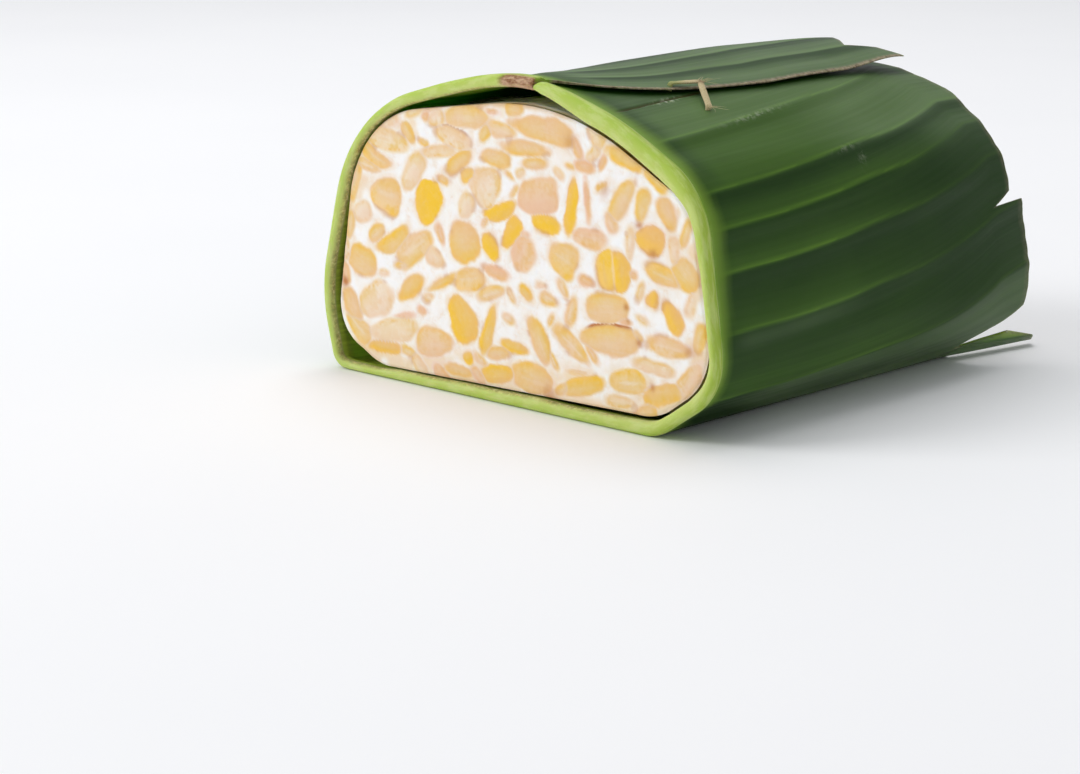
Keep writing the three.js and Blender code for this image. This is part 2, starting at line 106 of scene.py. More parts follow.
@dataclass(frozen=True)
class Patch:
    """A soft patch on the leaf, between two ends round it and two ends along it.

    `slant` moves the far end round the leaf by this share of the distance behind the front.
    """

    strength: float
    start: Onset | Bump = ALWAYS
    end: Onset = NEVER
    front: Onset | Bump = ALWAYS
    back: Onset = NEVER
    slant: float = 0.0

    def __call__(self, column: Array, y: Array) -> Array:
        """Its strength at columns and distances behind the front."""
        across = self.start(column) * (1.0 - self.end(column - self.slant * y))
        return self.strength * across * self.front(y) * (1.0 - self.back(y))


def unit(vectors: Array) -> Array:
    """The vectors brought to length 1."""
    return vectors / np.linalg.norm(vectors, axis=-1, keepdims=True)


def run_along(points: Array) -> Array:
    """How far along a line of points each of them lies, from 0 at the first."""
    return np.concatenate([[0.0], np.cumsum(np.linalg.norm(np.diff(points, axis=0), axis=1))])


def paint(code: str) -> tuple[float, float, float, float]:
    """Turns a paint code into the linear colour that shaders use.

    Args:
        code: six hexadecimal digits, two each for red, green and blue.

    Returns:
        Linear red, green, blue, and 1 for alpha.
    """
    parts = [int(code[i : i + 2], 16) / 255.0 for i in (0, 2, 4)]
    red, green, blue = (p / 12.92 if p <= 0.04045 else ((p + 0.055) / 1.055) ** 2.4 for p in parts)
    return red, green, blue, 1.0


def to_part(points: Array) -> Array:
    """Millimetres in the maker's frame to metres in the part's frame."""
    return (points + FRAME_SHIFT) * UNIT


class SoftNoise:
    """Seeded value noise on a plane.

    Random values from -1 to 1 stand on the corners of a square grid, and the value between
    corners is their blend by the smooth step. Each further octave has half the pitch and half
    the height, and is shifted so that its corners fall elsewhere.
    """

    SIDE = 256
    SHIFT = (17.3, 9.1)

    def __init__(self, seed: int) -> None:
        """Fills the grid of random values from the seed."""
        self.grid = np.random.default_rng(seed).uniform(-1.0, 1.0, (self.SIDE, self.SIDE))

    def at(self, u: Array, v: Array, pitch_u: float, pitch_v: float, octaves: int = 1) -> Array:
        """Noise at points of the plane.

        Args:
            u: first coordinate, mm.
            v: second coordinate, mm.
            pitch_u: grid pitch along u, mm.
            pitch_v: grid pitch along v, mm.
            octaves: how many octaves are added.

        Returns:
            Noise between about -1 and 1.
        """
        total, height, whole = 0.0, 1.0, 0.0
        for octave in range(octaves):
            a = u / pitch_u * 2.0**octave + self.SHIFT[0] * octave + self.SIDE / 4
            b = v / pitch_v * 2.0**octave + self.SHIFT[1] * octave + self.SIDE / 4
            i, j = np.floor(a).astype(int), np.floor(b).astype(int)
            s, t = ease(a - i), ease(b - j)
            i0, i1 = i % self.SIDE, (i + 1) % self.SIDE
            j0, j1 = j % self.SIDE, (j + 1) % self.SIDE
            near = mix(self.grid[i0, j0], self.grid[i1, j0], s)
            far = mix(self.grid[i0, j1], self.grid[i1, j1], s)
            total = total + height * mix(near, far, t)
            whole += height
            height *= 0.5
        return total / whole


def ring_faces(rows: int, around: int) -> Array:
    """Quads of a tube whose vertices are numbered row by row, `around` to a row."""
    i, j = np.meshgrid(np.arange(rows - 1), np.arange(around), indexing="ij")
    k = (j + 1) % around
    quads = [i * around + j, i * around + k, (i + 1) * around + k, (i + 1) * around + j]
    return np.stack(quads, -1).reshape(-1, 4)


def grid_faces(rows: int, columns: int) -> Array:
    """Quads of an open grid whose vertices are numbered row by row."""
    i, j = np.meshgrid(np.arange(rows - 1), np.arange(columns - 1), indexing="ij")
    a = i * columns + j
    return np.stack([a, a + 1, a + columns + 1, a + columns], -1).reshape(-1, 4)


def facing_out(points: Array, faces: Array) -> Array:
    """Turns all faces of a closed surface round if the volume they shut in is negative."""
    a, b, c, d = (points[faces[:, i]] for i in range(4))
    inside = np.einsum("ij,ij->i", a, np.cross(b, c)) + np.einsum("ij,ij->i", a, np.cross(c, d))
    return faces if inside.sum() > 0 else faces[:, ::-1]


@dataclass
class Skin:
    """A closed surface with what its finish reads at each vertex.

    Quads may repeat a vertex, which makes them triangles.
    """

    points: Array
    faces: Array
    traits: dict[str, Array] = field(default_factory=dict)
    lie: Array | None = None
    sharp: Array | None = None

    def to_object(self, name: str, material: bpy.types.Material, *nodes: str) -> bpy.types.Object:
        """Makes the mesh object and hides the nodes of the part that it stands for.

        Args:
            name: the piece's name.
            material: its finish.
            nodes: the nodes that it replaces.

        Returns:
            The new object, at the origin.
        """
        mesh = bpy.data.meshes.new(name)
        faces = facing_out(self.points, self.faces)
        kept = [list(dict.fromkeys(face)) for face in faces.tolist()]
        mesh.from_pydata(to_part(self.points), [], [face for face in kept if len(face) > 2])
        for trait, values in self.traits.items():
            layer = mesh.attributes.new(trait, "FLOAT", "POINT")
            layer.data.foreach_set("value", values.astype(np.float32).ravel())
        corners = np.zeros(len(mesh.loops), np.int32)
        mesh.loops.foreach_get("vertex_index", corners)
        if self.lie is not None:
            sheet = mesh.uv_layers.new(name="lie")
            sheet.data.foreach_set("uv", self.lie[corners].astype(np.float32).ravel())
        mesh.polygons.foreach_set("use_smooth", np.ones(len(mesh.polygons), bool))
        if self.sharp is not None:
            ends = np.zeros(2 * len(mesh.edges), np.int32)
            mesh.edges.foreach_get("vertices", ends)
            ends = ends.reshape(-1, 2)
            crease = (self.sharp[ends[:, 0]] > 0) & (self.sharp[ends[:, 0]] == self.sharp[ends[:, 1]])
            mesh.edges.foreach_set("use_edge_sharp", crease)
        mesh.materials.append(material)
        mesh.validate()
        mesh.update()
        made = bpy.data.objects.new(name, mesh)
        bpy.context.scene.collection.objects.link(made)
        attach(made, "root")
        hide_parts(*nodes)
        LOG.info("%s: %d vertices, %d faces", name, len(mesh.vertices), len(mesh.polygons))
        return made


def joined(skins: list[Skin]) -> Skin:
    """Several closed skins as one, each turned outward, with their traits and lie."""
    offsets = np.cumsum([0] + [len(skin.points) for skin in skins[:-1]])
    return Skin(
        np.vstack([skin.points for skin in skins]),
        np.vstack([facing_out(skin.points, skin.faces) + o for skin, o in zip(skins, offsets)]),
        {name: np.concatenate([skin.traits[name] for skin in skins]) for name in skins[0].traits},
        np.vstack([skin.lie for skin in skins]),
    )


# ---- Cross-sections ----


@dataclass(frozen=True)
class Corner:
    """A rounded corner of a cross-section: its place across and up, and its radius, in mm."""

    across: float
    up: float
    radius: float


class SectionLine:
    """A closed cross-section, measured by distance along it from a start on its top.

    The sides of a polygon are joined by arcs that touch both sides. The normal of a point on an
    arc is the arc's own spoke, so the normal turns evenly and stands still along the sides.
    """

    STEP = 0.3
    TOP_SHARE = 0.75

    def __init__(self, corners: tuple[Corner, ...], start_across: float) -> None:
        """Lays the points of the section.

        Args:
            corners: the corners, clockwise from the top.
            start_across: where across the top the distance starts.
        """
        places = np.array([(c.across, c.up) for c in corners])
        points, normals = [], []
        for i, corner in enumerate(corners):
            before = unit(places[i - 1] - places[i])
            after = unit(places[(i + 1) % len(corners)] - places[i])
            half = math.acos(float(before @ after)) / 2
            centre = unit(before + after) * corner.radius / math.sin(half)
            spoke = before * corner.radius / math.tan(half) - centre
            sweep = math.pi - 2 * half
            steps = max(2, math.ceil(sweep * corner.radius / self.STEP))
            turn = -sweep * np.linspace(0.0, 1.0, steps + 1)
            turned = np.stack(
                [
                    spoke[0] * np.cos(turn) - spoke[1] * np.sin(turn),
                    spoke[0] * np.sin(turn) + spoke[1] * np.cos(turn),
                ],
                -1,
            )
            points.append(places[i] + centre + turned)
            normals.append(turned / corner.radius)
        line, spokes = np.concatenate(points), np.concatenate(normals)
        far = np.where(line[:, 1] > line[:, 1].max() * self.TOP_SHARE, 0.0, 1e3)
        first = int(np.argmin(np.abs(line[:, 0] - start_across) + far))
        line, spokes = np.roll(line, -first, 0), np.roll(spokes, -first, 0)
        self.line = np.vstack([line, line[:1]])
        self.spokes = np.vstack([spokes, spokes[:1]])
        self.distance = run_along(self.line)
        self.length = float(self.distance[-1])

    def at(self, along: Array, out: Array | float) -> tuple[Array, Array]:
        """Points of the section, pushed out along its normal.

        Args:
            along: distance along the section, mm.
            out: how far they are pushed out, mm.

        Returns:
            Their places across and up, mm.
        """
        s = np.mod(along, self.length)
        x, z, nx, nz = (
            np.interp(s, self.distance, values)
            for values in (*self.line.T, *self.spokes.T)
        )
        return x + nx * out, z + nz * out

    def reach(self, angle: Array, centre: tuple[float, float]) -> Array:
        """How far the section is from a centre inside it, in each direction.

        Args:
            angle: directions, radians from the +x axis.
            centre: place across and up.

        Returns:
            Distances, mm.
        """
        marks = np.arange(0.0, self.length, self.STEP)
        arms = np.stack(self.at(marks, 0.0), -1) - np.array(centre)
        turns = np.arctan2(arms[:, 1], arms[:, 0])
        order = np.argsort(turns)
        return np.interp(angle, turns[order], np.hypot(*arms[order].T), period=2 * math.pi)


@dataclass(frozen=True)
class Taper:
    """How both sections draw in toward the back.

    The draw is 0 up to a start and grows with the square of the way beyond it. Widths shrink by
    its share `width` above the foot of the sides, and heights by its share `height`.
    """

    start: float = 60.0
    run: float = 55.0
    most: float = 1.15
    width: float = 0.07
    height: float = 0.055
    foot: float = 25.0

    def __call__(self, x: Array, y: Array, z: Array) -> Array:
        """The points after the draw, as rows of x, y and z."""
        draw = np.square(np.clip((y - self.start) / self.run, 0.0, self.most))
        across = x * (1.0 - self.width * draw * ease(z / self.foot))
        return np.stack([across, y + 0.0 * x, z * (1.0 - self.height * draw)], -1)


TAPER = Taper()
SHEET_START = 3.0

WRAP_LINE = SectionLine(
    (
        Corner(8.6, 71.7, 74.0),
        Corner(50.0, 49.5, 19.6),
        Corner(55.7, 10.8, 13.0),
        Corner(39.7, 0.0, 9.9),
        Corner(-51.6, 0.0, 4.3),
        Corner(-55.9, 16.5, 31.2),
        Corner(-45.9, 56.3, 33.0),
    ),
    SHEET_START,
)
CAKE_LINE = SectionLine(
    (
        Corner(13.4, 63.4, 59.7),
        Corner(47.3, 45.8, 13.7),
        Corner(53.2, 13.3, 12.8),
        Corner(39.6, 3.8, 13.0),
        Corner(-38.4, 2.4, 12.8),
        Corner(-51.7, 8.9, 9.7),
        Corner(-44.2, 55.6, 23.9),
    ),
    SHEET_START,
)


# ---- Finishes ----


class Recipe:
    """Lays out the nodes of one finish round a single skin shader."""

    def __init__(self, name: str) -> None:
        """Starts an empty finish of this name."""
        self.material = bpy.data.materials.new(name)
        self.material.use_nodes = True
        self.tree = self.material.node_tree
        self.tree.nodes.clear()
        end = self._node("OutputMaterial")
        self.skin = self._node("BsdfPrincipled")
        self.tree.links.new(self.skin.outputs["BSDF"], end.inputs["Surface"])

    def set(self, **values: float | tuple[float, ...]) -> None:
        """Sets sockets of the skin shader, named with _ for a space."""
        for name, value in values.items():
            self.skin.inputs[name.replace("_", " ")].default_value = value

    def feed(self, name: str, source: Socket) -> None:
        """Links a source to a socket of the skin shader."""
        self.tree.links.new(source, self.skin.inputs[name])

    def _node(self, kind: str) -> bpy.types.Node:
        """A new node of this kind."""
        return self.tree.nodes.new("ShaderNode" + kind)

    def _put(self, socket: Socket, value: object) -> None:
        """Links the value to the socket if it is a socket, or else sets it."""
        if isinstance(value, Socket):
            self.tree.links.new(value, socket)
        else:
            socket.default_value = value

    def trait(self, name: str) -> Socket:
        """The value that the mesh holds under this name."""
        node = self._node("Attribute")
        node.attribute_name = name
        return node.outputs["Fac"]

    def lie(self, across: float, along: float) -> Socket:
        """Coordinates that follow the grain, multiplied by across and along."""
        sheet = self._node("UVMap")
        sheet.uv_map = "lie"
        return self.stretch(sheet.outputs["UV"], (across, along, 1.0))

    def join(self, x: object, y: object) -> Socket:
        """Coordinates made of two numbers."""
        node = self._node("CombineXYZ")
        self._put(node.inputs["X"], x)
        self._put(node.inputs["Y"], y)
        return node.outputs["Vector"]

    def place(self) -> Socket:
        """Coordinates of the part, in metres."""
        return self._node("TexCoord").outputs["Object"]

    def stretch(self, vector: Socket, scale: tuple[float, float, float]) -> Socket:
        """The coordinates multiplied by a scale on each axis."""
        node = self._node("Mapping")
        node.inputs["Scale"].default_value = scale
        self._put(node.inputs["Vector"], vector)
        return node.outputs["Vector"]

    def noise(self, vector: Socket, scale: float, detail: float = 3.0, rough: float = 0.5) -> Socket:
        """Cloudy noise, mostly between 0.3 and 0.7."""
        node = self._node("TexNoise")
        self._put(node.inputs["Vector"], vector)
        node.inputs["Scale"].default_value = scale
        node.inputs["Detail"].default_value = detail
        node.inputs["Roughness"].default_value = rough
        return node.outputs["Fac"]

    def ramp(self, source: Socket, stops: Stops) -> Socket:
        """Colours along a scale, each stop a place from 0 to 1 and a paint code."""
        node = self._node("ValToRGB")
        self._put(node.inputs["Fac"], source)
        marks = node.color_ramp.elements
        while len(marks) < len(stops):
            marks.new(0.5)
        for mark, (place, code) in zip(marks, stops):
            mark.position = place
            mark.color = paint(code)
        return node.outputs["Color"]

    def span(
        self, source: object, low: float, high: float, to_low: float = 0.0, to_high: float = 1.0
    ) -> Socket:
        """The source stretched from one range to another, and held within it."""
        node = self._node("MapRange")
        node.interpolation_type = "SMOOTHSTEP"
        self._put(node.inputs["Value"], source)
        ends = {"From Min": low, "From Max": high, "To Min": to_low, "To Max": to_high}
        for name, value in ends.items():
            node.inputs[name].default_value = value
        return node.outputs["Result"]

    def sum(self, operation: str, a: object, b: object = 0.0) -> Socket:
        """Two numbers put together by a named operation."""
        node = self._node("Math")
        node.operation = operation
        self._put(node.inputs[0], a)
        self._put(node.inputs[1], b)
        return node.outputs["Value"]

    def blend(self, share: object, a: object, b: object, way: str = "MIX") -> Socket:
        """Two colours blended by a share, from a at 0 to b at 1."""
        node = self._node("Mix")
        node.data_type, node.blend_type = "RGBA", way
        colours = [s for s in node.inputs if s.type == "RGBA"]
        self._put(node.inputs["Factor"], share)
        self._put(colours[0], a)
        self._put(colours[1], b)
        return next(s for s in node.outputs if s.type == "RGBA")

    def relief(self, height: Socket, depth_mm: float, below: Socket | None = None) -> Socket:
        """A surface relief of a height, this many millimetres deep, over another relief."""
        node = self._node("Bump")
        node.inputs["Distance"].default_value = depth_mm * UNIT
        self._put(node.inputs["Height"], height)
        if below is not None:
            self._put(node.inputs["Normal"], below)
        return node.outputs["Normal"]


@dataclass(frozen=True)
class LeafFinish:
    """Fresh banana leaf: satin blade with fine parallel veins, glossy pale midrib, dry edges,
    with painted highlights and painted shade along its folds, painted sheen over its waxy bloom
    and a painted glow on its inner face.
    """

    shade: str = "1f3f0e"
    blade: str = "294617"
    lit: str = "38591d"
    # The next colour is painted shade, laid behind the folds, under the flap's edge and far back.
    painted_shade: str = "173509"
    # The next colour is the painted highlight of the fold ridges.
    ridge: str = "6f9a30"
    # The next colour is waxy bloom and painted sheen.
    bloom_and_sheen: str = "7c936a"
    shoulder: str = "84a73c"
    # The next colour is the inner face's green, brightened as a painted glow of light shining through the
    # leaf.
    inside: str = "b2c84a"
    scuff: str = "b9bfa8"
    # The next colour is painted shade in the split of the under layer.
    split_shade: str = "4a4220"
    fibre: str = "dbe39f"
    rim: Stops = (
        (0.0, "dcd894"), (0.25, "cfd988"), (0.5, "b2c957"), (0.75, "98b438"), (1.0, "84a634"),
    )  # fmt: skip
    dry: Stops = ((0.3, "5a4a33"), (0.55, "9a8d76"), (0.75, "b9ac97"))
    cut: Stops = ((0.38, "3a2412"), (0.46, "7c5a30"), (0.54, "b99a63"), (0.62, "e6d9a8"))
    torn: Stops = ((0.36, "47281a"), (0.46, "8f6546"), (0.6, "c9a888"))

    def material(self) -> bpy.types.Material:
        """Builds the material.

        Returns:
            The leaf material, which reads the traits of LeafWrap and the coordinates of the sheet.
        """
        r = Recipe("banana_leaf")
        threads = r.noise(r.lie(1.0, 0.018), 95.0, 4.0, 0.6)
        bands = r.noise(r.lie(1.0, 0.03), 21.0, 3.0, 0.55)
        clouds = r.noise(r.place(), 34.0, 3.0)
        along_rim = r.join(
            r.sum("MULTIPLY", r.trait("run"), 0.16), r.sum("MULTIPLY", r.trait("across"), 0.07)
        )
        fibres = r.noise(along_rim, 100.0, 4.0, 0.65)
        tone = r.sum("ADD", r.sum("MULTIPLY", threads, 0.35), r.sum("MULTIPLY", bands, 0.65))
        colour = r.ramp(tone, ((0.3, self.shade), (0.5, self.blade), (0.74, self.lit)))
        colour = r.blend(r.span(clouds, 0.42, 0.68, 0.0, 0.3), colour, paint(self.lit))
        # Painted highlight along the fold ridges, on the upper band and on the flap's painted folds.
        colour = r.blend(r.trait("ridge"), colour, paint(self.ridge))
        # Painted shade behind the folds, under the flap's edge and far back on the right side.
        colour = r.blend(r.trait("shade"), colour, paint(self.painted_shade))
        # Waxy bloom and painted sheen, weaker where shade is painted.
        bloom_and_sheen_share = r.sum("MULTIPLY", r.trait("bloom_and_sheen"), r.span(bands, 0.3, 0.7, 0.7, 1.0))
        bloom_and_sheen_share = r.sum("MULTIPLY", bloom_and_sheen_share, r.span(r.trait("shade"), 0.0, 1.0, 1.0, 0.4))
        colour = r.blend(bloom_and_sheen_share, colour, paint(self.bloom_and_sheen))
        colour = r.blend(r.trait("shoulder"), colour, paint(self.shoulder))
        specks = r.span(r.noise(r.lie(1.0, 1.0), 70.0, 4.0, 0.6), 0.45, 0.6)
        colour = r.blend(r.sum("MULTIPLY", r.trait("scuff"), specks), colour, paint(self.scuff))
        # Painted shade in the split of the under layer.
        colour = r.blend(r.trait("split"), colour, paint(self.split_shade))
        # Inner face: its green brightened as a painted glow of light through the leaf.
        under = r.blend(r.span(threads, 0.35, 0.65, 0.0, 0.35), paint(self.inside), paint(self.shade))
        colour = r.blend(r.trait("inside"), colour, under)
        bead = r.blend(
            r.span(fibres, 0.4, 0.65, 0.0, 0.4), r.ramp(r.trait("across"), self.rim), paint(self.fibre)
        )
        colour = r.blend(r.trait("rim"), colour, bead)
        fleck = r.noise(r.lie(1.0, 1.0), 90.0, 5.0, 0.7)
        colour = r.blend(r.trait("dry"), colour, r.ramp(fleck, self.dry))
        marks = r.noise(r.lie(1.0, 2.0), 42.0, 4.0, 0.65)
        broken = r.sum("MULTIPLY", r.trait("cut"), r.span(marks, 0.38, 0.52, 0.45, 1.0))
        colour = r.blend(broken, colour, r.ramp(fleck, self.cut))
        colour = r.blend(r.trait("torn"), colour, r.ramp(fibres, self.torn))
        r.feed("Base Color", colour)
        gloss = r.span(threads, 0.3, 0.7, 0.5, 0.42)
        rough = r.sum("MAXIMUM", gloss, r.sum("MULTIPLY", r.trait("dry"), 0.8))
        rough = r.sum("MAXIMUM", rough, r.sum("MULTIPLY", broken, 0.8))
        r.feed("Roughness", rough)
        fine = r.relief(threads, 0.025)
        r.feed("Normal", r.relief(bands, 0.05, fine))
        r.set(Specular_IOR_Level=0.12, Subsurface_Weight=0.3, Subsurface_Scale=0.0012)
        r.set(Subsurface_Radius=(0.5, 1.0, 0.15))
        return r.material


@dataclass(frozen=True)
class TempehFinish:
    """Cut tempeh: pale to golden soybeans in soft white mould threads."""

    threads: Stops = ((0.3, "f6ebe0"), (0.42, "fbf7f3"), (0.6, "fefdfc"))
    bean: Stops = (
        (0.0, "f3dcb8"), (0.25, "efd093"), (0.5, "f0c86c"), (0.75, "f4c445"), (1.0, "fac81e"),
    )  # fmt: skip
    blush: str = "edb88f"
    starch: str = "f8ead0"
    crack: str = "bd6c1c"
    rust: str = "c98440"

    def material(self) -> bpy.types.Material:
        """Builds the material, which reads the traits bean, gold, blush, crack and rust."""
        r = Recipe("tempeh")
        place = r.place()
        fluff = r.noise(place, 420.0, 5.0, 0.62)
        cotton = r.noise(place, 1500.0, 4.0, 0.6)
        grain = r.noise(place, 900.0, 3.0, 0.5)
        white = r.ramp(fluff, self.threads)
        gold = r.sum("ADD", r.trait("gold"), r.span(fluff, 0.3, 0.7, -0.05, 0.05))
        flesh = r.ramp(gold, self.bean)
        flesh = r.blend(r.trait("blush"), flesh, paint(self.blush))
        flesh = r.blend(r.span(grain, 0.45, 0.75, 0.0, 0.07), flesh, paint(self.starch))
        colour = r.blend(r.trait("bean"), white, flesh)
        colour = r.blend(r.trait("rust"), colour, paint(self.rust))
        colour = r.blend(r.trait("crack"), colour, paint(self.crack))
        r.feed("Base Color", colour)
        r.feed("Roughness", r.span(r.trait("bean"), 0.0, 1.0, 0.85, 0.5))
        soft = r.relief(cotton, 0.05)
        r.feed("Normal", r.relief(fluff, 0.16, soft))
        r.set(Specular_IOR_Level=0.35, Subsurface_Weight=0.18, Subsurface_Scale=0.0016)
        r.set(Subsurface_Radius=(1.0, 0.8, 0.6), Sheen_Weight=0.12, Sheen_Roughness=0.6)
        return r.material


@dataclass(frozen=True)
class SplintFinish:
    """Dry split bamboo with fibres along it, darker where it is bent."""

    fibre: Stops = ((0.3, "7d6138"), (0.42, "c4ae7c"), (0.56, "e0d0a2"), (0.72, "f0e6c6"))
    green: str = "8f9a4c"
    bend: str = "7c5a38"

    def material(self) -> bpy.types.Material:
        """Builds the material, which reads the traits green and bend."""
        r = Recipe("split_bamboo")
        lines = r.noise(r.lie(1.0, 0.06), 380.0, 4.0, 0.6)
        colour = r.ramp(lines, self.fibre)
        colour = r.blend(r.trait("green"), colour, paint(self.green))
        colour = r.blend(r.trait("bend"), colour, paint(self.bend))
        r.feed("Base Color", colour)
        r.feed("Roughness", r.span(lines, 0.3, 0.7, 0.7, 0.5))
        r.feed("Normal", r.relief(lines, 0.12))
        r.set(Specular_IOR_Level=0.4)
        return r.material


@dataclass(frozen=True)
class TableFinish:
    """A matt white table top."""

    light: str = "fbfbfc"
    dim: str = "f6f6f8"

    def material(self) -> bpy.types.Material:
        """Builds the material."""
        r = Recipe("white_table")
        r.feed("Base Color", r.blend(r.noise(r.place(), 6.0), paint(self.light), paint(self.dim)))
        r.set(Roughness=0.7, Specular_IOR_Level=0.2)
        return r.material


# ---- The leaf ----

Table = tuple[tuple[float, float], ...]


def read_table(table: Table, at: Array | float) -> Array:
    """Straight-line values between the rows of a table of place and value."""
    places, values = zip(*table)
    return np.interp(at, places, values)


@dataclass(frozen=True)
class FlapShape:
    """How the flap stands over the sheet's start: up to a ridge, then down to its free edge.

    Each lift grows from the midrib to the back. `ridges` are the ridge's lifts at the midrib,
    just behind it, halfway and at the back, and `edges` the free edge's halfway and at the back.
    """

    behind_rim: Onset = Onset(1.6, 2.6)
    early: Onset = Onset(0.0, 12.0)
    halfway: Onset = Onset(20.0, 50.0)
    late: Onset = Onset(70.0, 40.0)
    edge_late: Onset = Onset(82.0, 25.0)
    ridges: tuple[float, float, float, float] = (1.2, 1.75, 2.95, 4.3)
    edges: tuple[float, float] = (1.25, 3.9)
    climb_runs: tuple[float, float] = (20.0, 13.0)
    ridge_places: tuple[float, float] = (4.0, -1.0)
    fall_curve: float = 0.6
    arch_depth: float = 1.6
    arch: Bump = Bump(281.0, 13.0)
    arch_from: Onset = Onset(3.0, 5.0)
    arch_to: Onset = Onset(12.0, 26.0)

    def lift(self, way: Array, past: Array, reach: Array, y: Array) -> Array:
        """Lift of the flap, less the arch of cake that it sinks into at the front.

        Args:
            way: how far round, mm.
            past: distances past the sheet's start, below 0 before it.
            reach: how far past the start the free edge lies.
            y: how far back, mm.

        Returns:
            Lifts, mm.
        """
        at_rim, near, middle, back = self.ridges
        front = mix(at_rim, near, self.behind_rim(y))
        ridge = mix(mix(front, middle, self.halfway(y)), back, self.late(y))
        edge = mix(mix(front, self.edges[0], self.early(y)), self.edges[1], self.edge_late(y))
        run = mix(*self.climb_runs, self.behind_rim(y))
        top = mix(*self.ridge_places, self.early(y))
        climb = ridge * ease((past + run) / (run + top))
        fall = np.clip((past - top) / (reach - top), 0.0, 1.0)
        drop = mix(ridge, edge, fall * fall * (1.0 + self.fall_curve * (1.0 - fall)))
        sunk = self.arch_depth * self.arch(way) * self.arch_from(y) * (1.0 - self.arch_to(y))
        return np.where(past < -run, 0.0, np.where(past < top, climb, drop)) - sunk


@dataclass(frozen=True)
class Pleats:
    """Folds along the side veins, by the columns at which they stand.

    Past each fold the sheet drops within `drop` and then rises with the square of the way to the
    next fold. The folds bow toward the sheet's start round the middle of the cake, and waver.
    Their light and shade are painted as well: a painted highlight on each ridge and on the slope
    that rises to it, a painted light band on the upper side, painted shade on the drop behind each
    fold, and painted light and shade lines for the flap's folds, which have no relief.
    """

    folds: tuple[float, ...] = (35, 50, 57.6, 66, 77.5, 92.5, 203, 215, 226, 240, 250, 262)
    start: float = 24.0
    height: float = 0.38
    drop: float = 4.0
    grow: Onset = Onset(3.0, 6.0)
    bow: float = 1.1
    bowed: Bump = Bump(48.0, 26.0)
    waver: float = 0.3
    fade: tuple[float, float] = (0.75, 0.25)
    ridge_line: float = 0.42
    line_before: float = 0.5
    line_after: float = 0.3
    slope_glow: float = 0.22
    sun: float = 0.26
    sun_from: Onset = Onset(20.0, 10.0)
    sun_to: Onset = Onset(49.0, 3.0)
    sun_back: Onset = Onset(6.0, 8.0)
    shades: tuple[float, ...] = (0.0, 0.2, 0.75, 0.5, 0.7, 0.55, 0.6)
    shade_from: Onset = Onset(0.15, 0.5)
    shade_share: float = 0.85
    painted_flap_folds: tuple[float, ...] = (275.5, 288.0, 297.5, 305.0, 312.0)
    soft_waver: float = 0.9
    soft_back: Onset = Onset(6.0, 12.0)
    soft_line: float = 0.3
    soft_width: float = 0.6
    soft_shade: float = 0.9
    soft_from: Onset = Onset(0.2, 0.8)
    soft_to: Onset = Onset(0.8, 4.5)

    def bent(self, column: Array, y: Array) -> Array:
        """The column after the folds' bow."""
        return column + self.bow * self.bowed(y)

    def look(self, column: Array, y: Array, wave: SoftNoise) -> tuple[Array, Array, Array]:
        """Height of the pleats, the painted highlight of their ridges and the painted shade behind them.

        Args:
            column: columns, mm.
            y: how far back, mm.
            wave: the sheet's noise.

        Returns:
            Height in mm, then painted highlight and painted shade, each from 0 to 1.
        """
        folds = np.array(self.folds)
        column = self.bent(column, y) + self.waver * wave.at(column, y, 40.0, 14.0)
        starts = np.concatenate([[self.start], folds])
        following = np.clip(np.searchsorted(folds, column, side="right"), 0, len(folds) - 1)
        width = folds[following] - starts[following]
        after = column - starts[following]
        rise = np.square(np.clip(after / width, 0.0, 1.0))
        drop = np.where(following == 0, 0.0, 1.0 - ease(after / self.drop))
        grow = self.grow(y) * ((column > self.start) & (column < folds[-1] + self.drop))
        fade = self.fade[0] + self.fade[1] * wave.at(column, y, 9.0, 30.0)
        behind = bell(after / self.line_after) * (following > 0)
        line = np.maximum(bell((width - after) / self.line_before), behind)
        # Painted highlight on each ridge line and on the slope that rises to it.
        painted_light = (self.ridge_line * line + self.slope_glow * rise) * grow * fade
        # Painted light on the upper band of the side, which faces the light.
        sunny = self.sun_from(column) * (1.0 - self.sun_to(column)) * self.sun_back(y)
        painted_light = np.maximum(painted_light, self.sun * sunny * fade)
        shades = np.array(self.shades)[np.minimum(following, len(self.shades) - 1)]
        # Painted shade on the drop behind each fold.
        dark = shades * (1.0 - ease(after / (self.shade_share * width))) * self.shade_from(after) * grow
        # Painted light and shade lines for the flap's folds, which have no relief.
        for fold in self.painted_flap_folds:
            past = column - fold - self.soft_waver * wave.at(y, y * 0.0, 31.0, 1.0)
            line = bell(past / self.soft_width) * self.soft_back(y) * fade
            shade = self.soft_from(past) * (1.0 - self.soft_to(past)) * self.soft_back(y)
            painted_light = np.maximum(painted_light, self.soft_line * line)
            dark = np.maximum(dark, self.soft_shade * shade)
        return self.height * np.maximum(rise, drop) * grow, painted_light, dark


